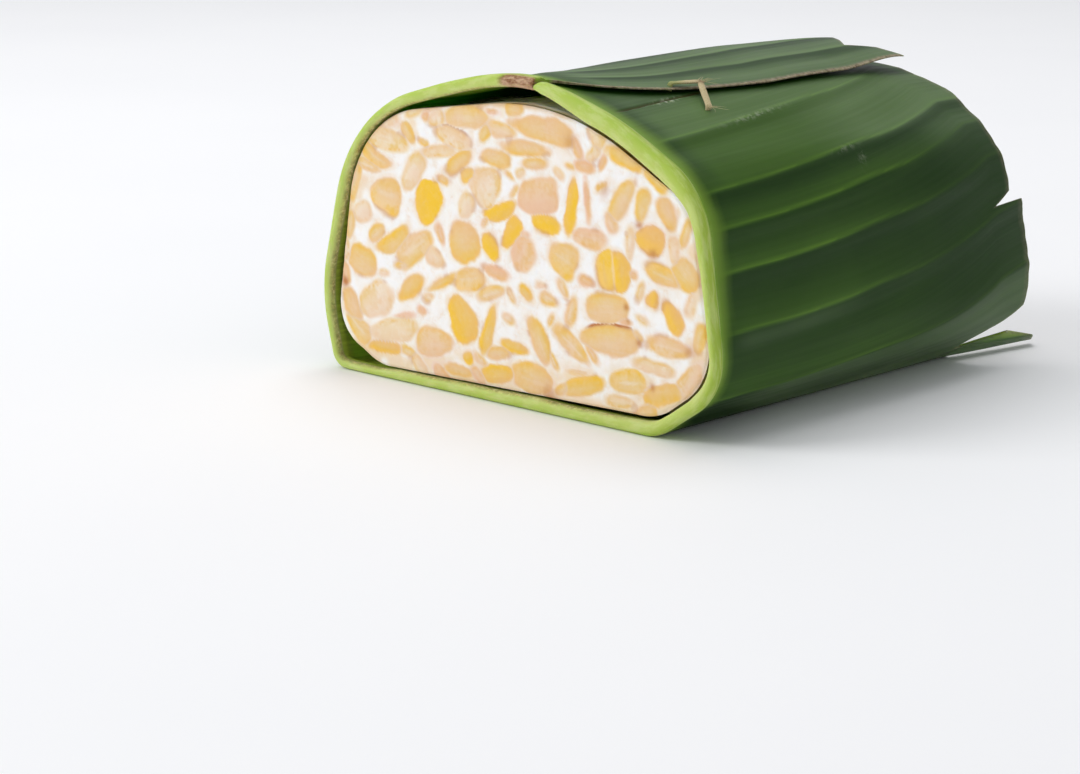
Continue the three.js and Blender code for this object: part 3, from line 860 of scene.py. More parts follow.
@dataclass
class LeafWrap:
    """One sheet of banana leaf wound round the cake, from its cut midrib to its outer margin.

    A point of the sheet is given by its column, the distance along the midrib at which its side
    vein starts, and by y, the distance behind the front. Its way is its distance round the section.
    Side veins leave the midrib square and sweep toward the leaf's tip.
    """

    line: SectionLine = field(default_factory=lambda: WRAP_LINE)
    wave: SoftNoise = field(default_factory=lambda: SoftNoise(11))
    fray: SoftNoise = field(default_factory=lambda: SoftNoise(23))
    flap: FlapShape = FlapShape()
    pleats: Pleats = Pleats()

    # The blade and the midrib: thicknesses, how far the midrib stands out, and where its crest is.
    blade: float = 0.45
    edge_blade: float = 0.26
    midrib: Table = (
        (4, 2.3), (8, 2.6), (12, 3.1), (16, 3.55), (20, 3.9), (32, 3.8), (43, 4.1), (48, 3.5),
        (52, 2.9), (60, 2.6), (65, 2.05), (72, 1.85), (82, 1.9), (92, 2.95), (100, 2.75),
        (107, 3.05), (114, 2.75), (128, 2.6), (136, 2.8), (160, 2.45), (178, 2.2), (184, 1.7),
        (196, 1.9), (208, 2.3), (222, 2.3), (236, 2.75), (248, 1.9), (256, 1.95), (264, 2.4),
        (280, 2.75), (300, 2.7),
    )  # fmt: skip
    proud: float = 0.9
    crest: float = 1.4
    half_width: float = 1.9
    thinning: Onset = Onset(2.6, 2.9)
    midrib_fade: Onset = Onset(4.0, 2.2)
    midrib_end: Onset = Onset(4.2, 1.2)

    # How the sheet is wound: its two side edges, and the sweep of its veins.
    start: float = 4.95
    start_lift: float = 0.6
    start_back: Onset = Onset(3.0, 8.0)
    start_round: Onset = Onset(5.0, 14.0)
    inner_zone: float = 20.0
    inner_slant: float = 0.05
    flap_zone: float = 50.0
    flap_front: float = 4.6
    flap_from: float = 3.0
    flap_reach: float = 20.5
    flap_run: float = 13.0
    flap_back: float = 55.0
    flap_draw: float = 0.08
    overlap_column: float = 300.5
    vein_lean: Table = ((0, 7), (35, 7), (75, 0.5), (110, 2), (200, 3), (320, 3))
    vein_curl: float = 10.5
    vein_run: float = 95.0
    vein_bend: float = 100.0
    vein_slope: float = 0.15

    # The outer margin: how far back it reaches, and the narrow strip torn loose from it.
    margin: Table = (
        (0, 104), (26, 108), (38, 112), (46, 113.5), (53.5, 110.5), (64, 107), (74, 107),
        (76, 100.5), (76.8, 112.5), (85, 113.5), (92.5, 113.5), (102.8, 110.4), (107.6, 100.5),
        (112, 98), (115.4, 97.2), (116, 121.5), (119.1, 124), (119.8, 99), (128, 105),
        (150, 107), (176, 104), (202, 106), (214, 109.5), (226, 108), (227, 101), (228, 107.5),
        (244, 109), (266, 108), (284, 106), (294, 107), (303, 107.5), (312.1, 97), (315, 104.8),
        (320, 108.3),
    )  # fmt: skip
    margin_fray: float = 0.4
    strip: tuple[float, float] = (115.9, 119.3)
    strip_root: float = 97.0
    strip_stand: float = 0.1

    # The split of the layer under the flap, from one place to another, as y and way round; its dark line is
    # painted shade.
    split: tuple[tuple[float, float], tuple[float, float]] = ((5.5, 22.0), (33.0, 19.2))
    split_width: float = 0.3
    split_depth: float = 0.42
    split_end: float = 4.0
    first_layer: float = 60.0

    # The rim's colours: how far across it its two edges lie, where it ends on each side, the pale
    # shoulder behind it, and the brown line along its cut inner edge.
    rim_across: tuple[float, float] = (0.64, 0.26)
    rim_outer: Onset = Onset(2.9, 1.2)
    rim_inner: Onset = Onset(1.4, 0.7)
    # The inner face's painted glow fades deeper inside.
    inside_glow_fade: Onset = Onset(14.0, 26.0)
    shoulder: float = 0.85
    cut_left: Onset = Onset(112.0, 12.0)
    cut_corner: Bump = Bump(120.0, 5.0)
    cut_front: Bump = Bump(0.92, 0.09)
    cut_inner: Bump = Bump(1.2, 0.42)
    back_dryness: float = 0.3

    # Waxy bloom with painted sheen and a painted reflection of the table low down, and scuffs of the blade.
    flap_bloom_and_sheen: Patch = Patch(0.66, Onset(266.0, 20.0), front=Onset(4.0, 10.0))
    strip_bloom_and_sheen: Patch = Patch(0.7, Bump(117.6, 2.6), front=Onset(92.0, 8.0))
    bloom_and_sheen_patches: tuple[Patch, ...] = (
        Patch(0.95, Onset(92.6, 0.8), Onset(91.9, 5.0), Onset(8.0, 22.0), slant=0.34),
        Patch(0.4, Bump(79.4, 1.5), back=Onset(28.0, 26.0)),
        Patch(0.4, Onset(34.0, 4.0), Onset(50.0, 2.0), Onset(40.0, 32.0)),
        Patch(0.2, Bump(57.0, 8.0), front=Onset(76.0, 16.0)),
        Patch(0.3, end=Onset(35.0, 1.2)),
    )
    worn: tuple[Patch, ...] = (
        Patch(0.35, Bump(35.4, 0.7), front=Bump(38.0, 9.0)),
        Patch(0.21, Bump(50.3, 0.6), front=Bump(53.0, 4.0)),
    )
    scratch: Patch = Patch(0.245, Bump(52.4, 1.6), front=Bump(87.36, 0.9))
    scratch_slope: float = 0.6
    frayed_at: Bump = Bump(22.5, 4.0)

    # Sway of the blade, and shade under the flap's edge and far back on the right side.
    sway: tuple[float, float] = (0.34, 0.1)
    sway_back: Onset = Onset(4.0, 14.0)
    flap_shade: float = 0.85
    far_shade: float = 0.75
    far_back: Onset = Onset(40.0, 45.0)
    far_from: Onset = Onset(52.0, 8.0)
    far_to: Onset = Onset(92.0, 12.0)

    # The mesh: widths of its columns at places along the midrib, and its rows.
    pitch: Table = (
        (0, 0.7), (12, 0.7), (13, 0.4), (18, 0.4), (19, 0.3), (29, 0.3), (30, 0.6), (110, 0.56),
        (112, 0.42), (124, 0.42), (130, 1.7), (194, 1.7), (198, 0.62), (226, 0.7), (294, 0.8),
        (302, 0.5), (320, 0.36),
    )  # fmt: skip
    fold_pitch: float = 0.42
    bead_turns: tuple[float, ...] = (0, 18, 36, 52, 66, 78, 90)
    near_rows: tuple[float, ...] = (3.7, 4.4, 5.4)
    row_step: float = 1.5
    rows_end: float = 88.0
    margin_rows: int = 12
    front_turns: tuple[float, ...] = (72, 48, 22, -4, -34, -66)
    front_round: float = 0.85

    def __post_init__(self) -> None:
        """Works out how far round the sheet goes."""
        self.around = self.line.length
        self.end = self.around + self.margin[-1][0] - self.overlap_column

    def sweep(self, column: Array, y: Array) -> Array:
        """How far a vein has swept back along the section by y: a lean, and a cubic curl.

        Args:
            column: columns, mm.
            y: how far back, mm.

        Returns:
            Distances, mm.
        """
        t = np.minimum(y, self.vein_bend) / self.vein_run
        lean = read_table(self.vein_lean, column)
        beyond = np.maximum(0.0, y - self.vein_bend)
        return lean * t + self.vein_curl * t**3 + self.vein_slope * beyond

    def flap_edge(self, y: Array) -> Array:
        """How far the flap's free edge lies past the sheet's start: a curve that levels off.

        Args:
            y: how far back, mm.

        Returns:
            Distances, mm.
        """
        past = np.maximum(0.0, y - self.flap_from)
        reach = (self.flap_reach - self.flap_front) * (1.0 - np.exp(-past / self.flap_run))
        return self.flap_front + reach - self.flap_draw * np.maximum(0.0, y - self.flap_back)

    def round_at(self, column: Array, y: Array) -> Array:
        """Distance round the section of a column at y.

        Near the sheet's start and along the flap, columns follow the edge instead of the veins.

        Args:
            column: columns, mm.
            y: how far back, mm.

        Returns:
            Distances, mm.
        """
        inner = mix(
            -self.inner_slant * y,
            self.inner_zone - self.sweep(self.inner_zone, y),
            column / self.inner_zone,
        )
        start = self.end - self.flap_zone
        flap = mix(
            start - self.sweep(start, y),
            self.around + self.flap_edge(y),
            (column - start) / self.flap_zone,
        )
        middle = column - self.sweep(column, y)
        return np.where(column < self.inner_zone, inner, np.where(column > start, flap, middle))

    def slit_at(self, way: Array, y: Array, width: float) -> Array:
        """How deep in the split of the under layer a point is, from 0 to 1.

        Args:
            way: how far round, mm.
            y: how far back, mm.
            width: half width of the split, mm.

        Returns:
            Depths from 0 to 1.
        """
        (y0, p0), (y1, p1) = self.split
        share = np.clip((y - y0) / (y1 - y0), 0.0, 1.0)
        middle = mix(p0, p1, share) + 0.12 * self.fray.at(y, y * 0.0, 2.2, 1.0)
        ends = ease((y - y0) / self.split_end) * ease((y1 + self.split_end - y) / self.split_end)
        return bell((way - middle) / width) * ends

    def raised(self, column: Array, way: Array, y: Array) -> Array:
        """Lift of the whole sheet: by the flap, by the torn strip and by the start's own curl.

        Args:
            column: columns, mm.
            way: how far round, mm.
            y: how far back, mm.

        Returns:
            Lifts, mm.
        """
        lift = self.flap.lift(way, way - self.around, self.flap_edge(y), y)
        loose = (column >= self.strip[0]) & (column <= self.strip[1])
        lift = lift + loose * self.strip_stand * np.maximum(0.0, y - self.strip_root)
        curl = (1.0 - self.start_back(y)) * (1.0 - self.start_round(way))
        return lift + self.start_lift * curl

    def swayed(self, column: Array, y: Array) -> Array:
        """Slow waves of the blade, calmer toward the flap's free edge.

        Args:
            column: columns, mm.
            y: how far back, mm.

        Returns:
            Heights, mm.
        """
        slow, quick = self.sway
        waves = slow * self.wave.at(column, y, 15.0, 42.0) + quick * self.wave.at(column, y, 5.0, 30.0)
        return waves * self.sway_back(y) * (1.0 - 0.6 * ease((column - self.end + 25.0) / 20.0))

    def shaded(self, column: Array, way: Array, y: Array) -> Array:
        """Shade beside and under the flap's edge, and far back on the right side.

        Args:
            column: columns, mm.
            way: how far round, mm.
            y: how far back, mm.

        Returns:
            Darkness from 0 to 1.
        """
        under = way - self.flap_edge(y)
        open_to_light = mix(1.0, ease((y - 6.0) / 10.0), ease((under + 0.6) / 0.6))
        flap = self.flap_shade * (1.0 - ease(under / 3.4)) * open_to_light
        far = self.far_shade * self.far_back(y) * self.far_from(column) * (1.0 - self.far_to(column))
        return np.maximum(flap * (column < self.first_layer), far)

    def surfaces(self, column: Array, way: Array, y: Array) -> dict[str, Array]:
        """Heights of the sheet's two sides over the section, and what the finish reads.

        The midrib stands out over the blade by half an ellipse across its width.

        Args:
            column: columns, mm.
            way: how far round, mm.
            y: how far back, mm.

        Returns:
            outer and inner heights, the crest and the underside of the midrib, and traits.
        """
        clear = ease(self.line.at(way, 0.0)[1] / 3.0)
        ending = self.midrib_end(way - self.around)
        fade = self.midrib_fade(column) * mix(1.0, 0.3, ending)
        t = (y - self.crest) / self.half_width
        bead = np.sqrt(np.clip(1.0 - t * t, 0.0, 1.0)) * fade
        lift = self.raised(column, way, y)
        fold, painted_light, dark = self.pleats.look(column, y, self.wave)
        dark = np.maximum(dark, self.shaded(column, way, y))
        split = self.slit_at(way, y, self.split_width) * (column < self.first_layer)
        surface = lift + (fold + self.swayed(column, y)) * clear - self.split_depth * split
        uneven = mix(1.0, 0.96, self.wave.at(column, y * 0.0, 6.0, 1.0) * 0.5 + 0.5)
        midrib = mix(read_table(self.midrib, way), 1.0 + self.proud * 0.7, ending) * uneven
        rib_under = lift - midrib / mix(1.25, 1.0, ease((column - 4.0) / 3.0))
        outer = surface - self.proud * clear * (1.0 - bead)
        blade = surface - self.proud * clear - self.blade
        inner = np.minimum(mix(rib_under, blade, self.thinning(y)), outer - self.edge_blade)
        return {
            "outer": outer,
            "inner": inner,
            "crest": surface - self.proud * clear * (1.0 - fade),
            "rib_under": rib_under,
            # ridge and shade hold the painted highlight and the painted shade of the folds and the flap's
            # edge.
            "ridge": painted_light * clear,
            "shade": dark * clear,
            "split": split,
        }

    def columns(self) -> Array:
        """Columns of the mesh, closer together where the pitch table and the folds ask for it.

        Returns:
            Columns in order, mm.
        """
        mark = np.arange(self.start, self.end + 1e-6, 0.05)
        pitch = read_table(self.pitch, mark)
        past = mark[:, None] - np.array(self.pleats.folds)
        folded = ((past > -0.9) & (past < 2.8)).any(1)
        pitch = np.where(folded, np.minimum(pitch, self.fold_pitch), pitch)
        count = np.cumsum(0.05 / pitch)
        even = np.interp(np.arange(count[0], count[-1], 1.0), count, mark)
        steps = [c for c, _ in self.margin if self.start < c < self.end]
        every = np.unique(np.concatenate([[self.start], even, steps, [self.end]]))
        kept = np.concatenate([[True], np.diff(every) > 0.12])
        columns = every[kept]
        columns[-1] = self.end
        return columns

    def skin(self) -> Skin:
        """The closed skin of the sheet: both sides, the rounded midrib and the torn edges."""
        columns = self.columns()
        back = read_table(self.margin, columns)
        ragged = self.margin_fray * self.fray.at(columns, columns * 0.0, 2.4, 1.0, 3)
        loose = (columns > self.strip[0] - 0.9) & (columns < self.strip[1] + 0.9)
        back = back + np.where(loose, 0.0, ragged)
        bead = self.crest + self.half_width * np.sin(np.radians(self.bead_turns))
        near = np.concatenate([bead, self.near_rows])
        steps = max(2, round((self.rows_end - near[-1]) / self.row_step))
        fixed = np.concatenate([near, np.linspace(near[-1], self.rows_end, steps + 1)[1:]])
        share = np.linspace(0.0, 1.0, self.margin_rows)[1:]
        last = self.rows_end + (back - 0.5 - self.rows_end) * share[:, None]
        ys = np.vstack([np.tile(fixed[:, None], (1, len(columns))), last, back])
        grid = np.tile(columns, (len(ys), 1))
        way = self.round_at(grid, ys)
        found = self.surfaces(grid, way, ys)
        edge = ease((back - ys) / 0.5) * ease((self.end - grid) / 0.8)
        thinned = found["outer"] - mix(self.edge_blade, self.blade + 0.05, edge)
        inner = np.where(ys > 8.0, np.maximum(found["inner"], thinned), found["inner"])
        turns = np.radians(self.front_turns)[:, None]
        front_y = self.crest * (1.0 - np.abs(np.cos(turns)) ** self.front_round) + 0.0 * columns
        front_columns = np.tile(columns, (len(turns), 1))
        front_way = self.round_at(front_columns, front_y)
        rim = self.surfaces(front_columns, front_way, front_y)
        rise = 0.5 + 0.5 * np.sign(np.sin(turns)) * np.abs(np.sin(turns)) ** self.front_round
        front = mix(rim["rib_under"], rim["crest"], rise)
        heights = np.vstack([found["outer"][::-1], front, inner])
        all_y = np.vstack([ys[::-1], front_y, ys])
        all_way = np.vstack([way[::-1], front_way, way])
        x, z = self.line.at(all_way, heights)
        points = TAPER(x, all_y, z)
        depth = len(ys)
        points[:depth, :, 2] = np.maximum(points[:depth, :, 2], 0.0)
        rows = len(all_y)
        flat = points.transpose(1, 0, 2).reshape(-1, 3)
        faces = ring_faces(len(columns), rows)
        pair = np.arange(rows // 2 - 1)
        for start, flip in ((0, 1), ((len(columns) - 1) * rows, -1)):
            quad = np.stack([pair, pair + 1, rows - 2 - pair, rows - 1 - pair], -1) + start
            faces = np.vstack([faces, quad[:, ::flip]])
        traits = self.traits(np.tile(columns, (rows, 1)), all_way, all_y, back, depth)
        for name in ("ridge", "shade", "split"):
            traits[name] = np.vstack([found[name][::-1], 0 * front_y, 0 * ys])
        lie = np.stack([np.tile(columns, (rows, 1)), all_y], -1) / 100.0
        sharp = np.zeros((rows, len(columns)))
        sharp[0], sharp[-1], sharp[:, 0], sharp[:, -1] = 1, 2, 3, 4
        return Skin(
            flat,
            faces,
            {name: value.T.ravel() for name, value in traits.items()},
            lie.transpose(1, 0, 2).reshape(-1, 2),
            sharp.T.ravel(),
        )

    def traits(self, column: Array, way: Array, y: Array, back: Array, depth: int) -> dict[str, Array]:
        """What the finish reads, for rows from the outer margin round the midrib to the inner.

        Args:
            column: columns, mm.
            way: how far round, mm.
            y: how far back, mm.
            back: how far back the sheet reaches in each column.
            depth: how many rows each side has.

        Returns:
            A value from 0 to 1 for each trait and point.
        """
        rows = len(y)
        row = np.arange(rows)[:, None] + 0 * y
        outer, inner = row < depth, row >= rows - depth
        front = ~outer & ~inner
        place = (row - depth + 1.0) / (rows - 2 * depth + 1.0)
        out_edge, in_edge = self.rim_across
        outer_across = 1.0 - (1.0 - out_edge) * (1.0 - ease((y - self.crest) / self.half_width))
        inner_across = in_edge * (1.0 - ease((y - self.crest) / 1.8))
        across = np.where(
            outer, outer_across, np.where(front, mix(out_edge, in_edge, place), inner_across)
        )
        rim = np.where(
            front, 1.0, np.where(outer, 1.0 - self.rim_outer(y), 1.0 - self.rim_inner(y))
        )
        blotch = self.wave.at(column, y, 8.0, 6.0)
        shoulder = self.shoulder * (1.0 - ease((y - 2.9) / (4.6 + 1.6 * blotch)))
        return {
            "across": np.clip(across, 0.0, 1.0),
            "rim": rim * mix(0.35, 1.0, ease((column - 4.0) / 1.6)),
            "shoulder": np.where(outer, shoulder, 0.0),
            "cut": self.cut_line(column, y, np.where(front, place, np.nan), inner),
            "dry": self.dryness(column, y, back),
            "torn": np.where(outer, 0.0, self.torn_end(way, y, np.where(front, place, 1.0))),
            # Inner face: painted glow of light through the leaf, fading deeper inside.
            "inside": np.where(inner, self.rim_inner(y) * (1.0 - 0.8 * self.inside_glow_fade(y)), 0.0),
            "scuff": np.where(outer, self.scuffs(column, way, y), 0.0),
            "run": column / 100.0,
            # Waxy bloom with painted sheen and a painted reflection.
            "bloom_and_sheen": np.where(outer, self.bloom_and_sheen(column, way, y), 0.0),
        }

    def cut_line(self, column: Array, y: Array, place: Array, inner: Array) -> Array:
        """The brown line of the knife's cut along the inner edge of the midrib.

        It is faint on the right, and strong on the left and in the lower right corner.

        Args:
            column: columns, mm.
            y: how far back, mm.
            place: share of the way over the front from outside in, or nan off the front.
            inner: True on the inner side.

        Returns:
            Its strength from 0 to 1.
        """
        strength = np.clip(self.cut_left(column) + 0.8 * self.cut_corner(column) + 0.12, 0.0, 1.0)
        broken = 0.7 + 0.3 * self.fray.at(column, y * 0.0, 2.2, 1.0, 2)
        line = np.nan_to_num(self.cut_front(place)) + np.where(inner, self.cut_inner(y), 0.0)
        return line * strength * broken

    def dryness(self, column: Array, y: Array, back: Array) -> Array:
        """How dry and brown the torn margins are, most of all the flap's free edge.

        Args:
            column: columns, mm.
            y: how far back, mm.
            back: how far back the sheet reaches in each column.

        Returns:
            Dryness from 0 to 1.
        """
        to_side, to_back = self.end - column, back - y
        gap = np.where(y < 4.0, to_back, np.minimum(to_back, to_side))
        ragged = 0.25 * self.fray.at(column, y, 1.6, 1.6, 2)
        dry = 1.0 - ease((gap + ragged - 0.35) / 0.75)
        return dry * np.where(to_side < to_back, 1.0, self.back_dryness)

    def torn_end(self, way: Array, y: Array, place: Array) -> Array:
        """The brown torn patch where the midrib ends at the top of the front.

        Args:
            way: how far round, mm.
            y: how far back, mm.
            place: share of the way over the front, from outside in.

        Returns:
            How torn each point is, from 0 to 1.
        """
        torn_from = self.around - 5.0 + 1.2 * self.fray.at(y, way * 0.0, 0.8, 1.0)
        torn = ease((way - torn_from) / 2.4) * (1.0 - ease((y - 2.2) / 1.6))
        return torn * ease((place - 0.05) / 0.2)

    def bloom_and_sheen(self, column: Array, way: Array, y: Array) -> Array:
        """Grey waxy bloom and painted sheen on the blade: on the flap, on the torn strip, and in patches
        between folds, where the lowest patch is a painted reflection of the table.

        Args:
            column: columns, mm.
            way: how far round, mm.
            y: how far back, mm.

        Returns:
            Bloom and painted sheen from 0 to 1.
        """
        fold = self.pleats.bent(column, y)
        _, ridge, drop = self.pleats.look(column, y, self.wave)
        # The flap's painted sheen follows the painted light and shade of its folds.
        flap = self.flap_bloom_and_sheen(column, y) * (1.0 - 0.9 * drop + 0.8 * ridge)
        whole = flap + self.strip_bloom_and_sheen(column, y) + sum(patch(fold, y) for patch in self.bloom_and_sheen_patches)
        cloud = 0.8 + 0.2 * self.wave.at(column, y, 14.0, 22.0, 2)
        bare = np.where(column < self.first_layer, ease((way - self.flap_edge(y)) / 3.0), 1.0)
        return np.clip(whole, 0.0, 1.0) * cloud * bare * ease((y - 5.0) / 8.0)

    def scuffs(self, column: Array, way: Array, y: Array) -> Array:
        """Pale scuffs on two folds, a short slanting scratch, and frayed fibres by the split.

        Args:
            column: columns, mm.
            way: how far round, mm.
            y: how far back, mm.

        Returns:
            Scuffs from 0 to 1.
        """
        fold = self.pleats.bent(column, y)
        worn = sum(patch(fold, y) for patch in self.worn)
        scratch = self.scratch(column, y + self.scratch_slope * column)
        frayed = self.slit_at(way - 0.35, y, 0.8) * self.frayed_at(y) * (column < self.first_layer)
        return np.maximum(np.maximum(worn, scratch), frayed)

    def spot(self, along: float, y: float, height: float, on_flap: bool) -> Array:
        """A point over one layer of the leaf.

        Args:
            along: distance past the sheet's start.
            y: distance behind the front.
            height: height over the layer's outside.
            on_flap: True for the flap, False for the layer under it.

        Returns:
            The point, mm.
        """
        y_, along_ = np.array([y]), np.array([along])
        column = np.array([self.end - 4.0]) if on_flap else along_ + self.sweep(along_, y_)
        way = along_ + (self.around if on_flap else 0.0)
        over = self.surfaces(column, way, y_)["outer"]
        x, z = self.line.at(way, over + height)
        return TAPER(x, y_, z)[0]

    def build(self) -> bpy.types.Object:
        """Makes the leaf piece."""
        made = self.skin().to_object("leaf_sheet", LeafFinish().material(), "leaf_wrap")
        return made


# ---- The tempeh ----


class Tint(Enum):
    """Looks of a cut bean: how golden, how blushed and how veiled by threads, from 0 to 1."""

    VIVID = (1.0, 0.0, 0.0)
    GOLD = (0.66, 0.07, 0.06)
    HONEY = (0.52, 0.12, 0.1)
    TAN = (0.42, 0.15, 0.1)
    PEACH = (0.36, 0.32, 0.16)
    PALE = (0.2, 0.22, 0.4)
    ROSE = (0.34, 0.62, 0.2)
    AMBER = (0.96, 0.16, 0.0)


@dataclass(frozen=True)
class Bean:
    """A cut bean on the face: its place, its half length and half width in mm, and its turn.

    `bow` bends it like a crescent and `crack` opens a seam on its upper or lower side.
    """

    across: float
    up: float
    long: float
    wide: float
    turn: float
    tint: Tint
    bow: float = 0.0
    crack: float = 0.0


def sown(tint: Tint, *rows: tuple[float, ...]) -> tuple[Bean, ...]:
    """Beans of one look, from rows of across, up, long, wide, turn, and bow and crack if any."""
    return tuple(Bean(*row[:5], tint, *row[5:]) for row in rows)


LANDMARK_BEANS = (
    *sown(
        Tint.VIVID,
        (-23.3, 39, 4.7, 3.3, 72), (-2.6, 39.5, 4.7, 1.6, 20, -0.5), (-5.2, 32, 3, 1.7, -56),
        (0.7, 35.7, 3.7, 1.8, 56), (10, 38.5, 4.1, 1.8, -8), (16.8, 42.8, 5.8, 1.5, 80),
        (26.2, 31.0, 4.0, 2.3, 97, 0.3), (29.7, 31.2, 4.0, 2.3, 99, -0.3),
    ),
    *sown(
        Tint.GOLD,
        (-33.5, 29.9, 5.4, 2, 32, -0.5), (-13.4, 15.9, 4.9, 3.4, -58), (-5.9, 14.3, 5.9, 1.6, 72),
        (-11.7, 7.9, 1.6, 1.4, 0), (-36.5, 6.6, 5.6, 1.3, 4), (-11.4, 45.9, 2.2, 1.3, 12),
        (-3.2, 5.9, 4.7, 1.9, 8), (40.5, 32.1, 4.6, 1.8, -12), (20, 7, 6, 1.9, 15),
        (1.2, 12.2, 4.3, 1.3, -6),
    ),
    *sown(
        Tint.HONEY,
        (-35.8, 39.1, 4.6, 3.5, -8, 0, -0.3), (-28.6, 20.5, 4.6, 1.9, 40), (-19, 22.8, 5.4, 0.95, 27),
        (-11.3, 24.3, 4.5, 2.3, 10), (-43.2, 24.3, 4.3, 3.3, -12), (-39, 47.3, 5, 1.7, -28, -0.7),
        (-14.1, 48.4, 4.4, 1.7, 34), (35.2, 44.9, 3.7, 1.8, 74, 0.3), (14.8, 32, 3.8, 3.2, -20),
        (32.2, 9.9, 4.8, 2.5, 8), (41.2, 8.9, 5.8, 2, 18), (6.5, 6.6, 5.6, 3, -6),
        (30.4, 53.4, 5.2, 1.6, -18), (-38.8, 30.9, 2.8, 1.7, 35), (-31, 25, 2.6, 0.9, 10),
        (38.5, 50, 4, 1.4, -38),
    ),
    *sown(
        Tint.TAN,
        (-12.8, 32, 4.3, 3.8, 20), (-41.3, 45, 3.8, 1.2, -12), (-28.9, 53, 2.6, 1.4, -50),
        (-5, 22.5, 4.2, 1.4, 18), (-47, 31.7, 3.3, 1.5, 82), (30, 45.3, 5, 2, 56),
        (46.3, 32.9, 3.6, 2.7, -40), (26.2, 23.7, 5.6, 2.8, 6), (27.2, 17.5, 7.3, 2.9, 3, 0, 1),
        (8.5, 14.5, 5.2, 2.2, -66), (17.2, 15, 5.6, 1.8, -34), (-45.3, 41.2, 5, 1.6, 68),
        (-24.2, 51.3, 1.7, 0.8, -20), (-44.8, 9.7, 4.5, 2.2, -38), (-29.5, 6.7, 2.6, 1.2, -10),
        (46.2, 41, 3.4, 1.1, 70), (18.5, 9.6, 3, 0.6, 4), (12.2, 10.9, 2.6, 0.9, -60),
    ),
    *sown(
        Tint.PEACH,
        (-27.4, 28.9, 5.8, 2.8, 32), (-21.8, 9.7, 5.8, 3, 6), (-12.2, 57.7, 6.4, 2.2, 3),
        (-3.6, 50, 4.2, 1.8, -4), (41.4, 44.1, 3.6, 2, -60), (42.5, 18.3, 5.8, 1.9, -4),
        (47.6, 12.7, 4.4, 2, 50), (17, 21.8, 3.4, 1.3, 76), (9.5, 56.9, 9, 2.4, -4),
        (4.6, 52.9, 6.5, 1.6, 2), (10.8, 23.3, 2.6, 1.4, -15), (-46.5, 14.2, 4.5, 2.4, -65),
        (-14.5, 4.9, 5, 1.3, -3), (-2.2, 55.9, 4.4, 1.5, -6), (-3.5, 10.3, 3.6, 1.5, 12),
        (6.8, 50.1, 3.6, 1.2, 4), (27.3, 40.7, 2.2, 1.4, -60), (22.6, 14, 2.6, 0.9, -45),
    ),
    *sown(
        Tint.PALE,
        (-21.4, 27.6, 2.8, 1.8, -20), (-39.6, 16.3, 5.8, 3.3, 26), (-33.6, 10.6, 7.6, 2.4, 12),
        (-35.8, 51.1, 6.6, 2.3, -6), (-15.6, 53.1, 5.2, 2, -14, 0, 0.5), (-20, 49.9, 5.4, 1.3, 8),
        (-6.2, 44.4, 4.6, 3.5, 40), (-11.9, 39.7, 3, 2, 62), (38.5, 13.8, 6, 1.5, -4),
        (-43, 34.7, 3, 2.2, 30), (-34.5, 54.7, 3.5, 1.2, 18), (-27.4, 44.9, 5, 2.4, 52),
        (-36.6, 22.6, 1.6, 0.8, 0), (3.2, 47.9, 1.6, 1, 30), (22.5, 53.5, 2.4, 1.3, 40),
        (32.2, 37.2, 3.4, 1.2, 85), (35, 28.2, 2.2, 1, 70), (8.8, 25.9, 1.3, 0.6, 0),
        (30, 5.6, 4.4, 1.4, 4),
    ),
    *sown(
        Tint.ROSE,
        (-3.7, 26.9, 3.6, 1.3, -12), (8.2, 43.7, 5.5, 3.5, 12), (21, 44.3, 4.7, 0.8, 97),
        (21.6, 36.9, 4.1, 1.8, -3), (4, 31.5, 3.6, 2.9, 60), (20.4, 50.9, 3, 1.3, -4),
        (-23.6, 56.7, 1.3, 1.1, 0), (-25.3, 16, 1.5, 0.9, -10), (-30.5, 14.1, 3, 0.7, 10),
        (-4.8, 59.4, 2, 0.7, 0), (33, 31.1, 1.2, 0.9, 0), (31.2, 21.6, 1.8, 0.7, -5),
        (4.2, 35.6, 1.4, 0.6, -10),
    ),
    *sown(
        Tint.AMBER,
        (37.2, 38.5, 3.5, 2.7, 0, 0, -0.3), (38, 27.1, 1.8, 1.4, 70), (43.2, 24.2, 3.5, 1.8, -52),
    ),
)  # fmt: skip


@dataclass(frozen=True)
class Stain:
    """A small brown or rusty spot on the face: place, radius in mm, and how rusty and how dark."""

    across: float
    up: float
    radius: float
    rust: float
    dark: float = 0.0


STAINS = (
    Stain(-48.7, 19.2, 0.95, 0.8, 0.8),
    Stain(25.5, 46.5, 1.4, 0.3, 0.15),
    Stain(31.4, 24.6, 0.6, 0.9, 0.12),
    Stain(31.9, 22.0, 0.6, 0.6, 0.05),
    Stain(34.9, 18.0, 0.8, 0.9, 0.15),
    Stain(34.4, 41.0, 0.8, 0.8, 0.3),
    Stain(38.0, 36.0, 0.9, 0.7),
    Stain(47.5, 18.2, 1.2, 0.6),
    Stain(16.5, 55.2, 1.6, 0.45),
    Stain(38.2, 9.8, 0.7, 0.8, 0.1),
    Stain(11.0, 3.3, 2.0, 0.7, 0.1),
)


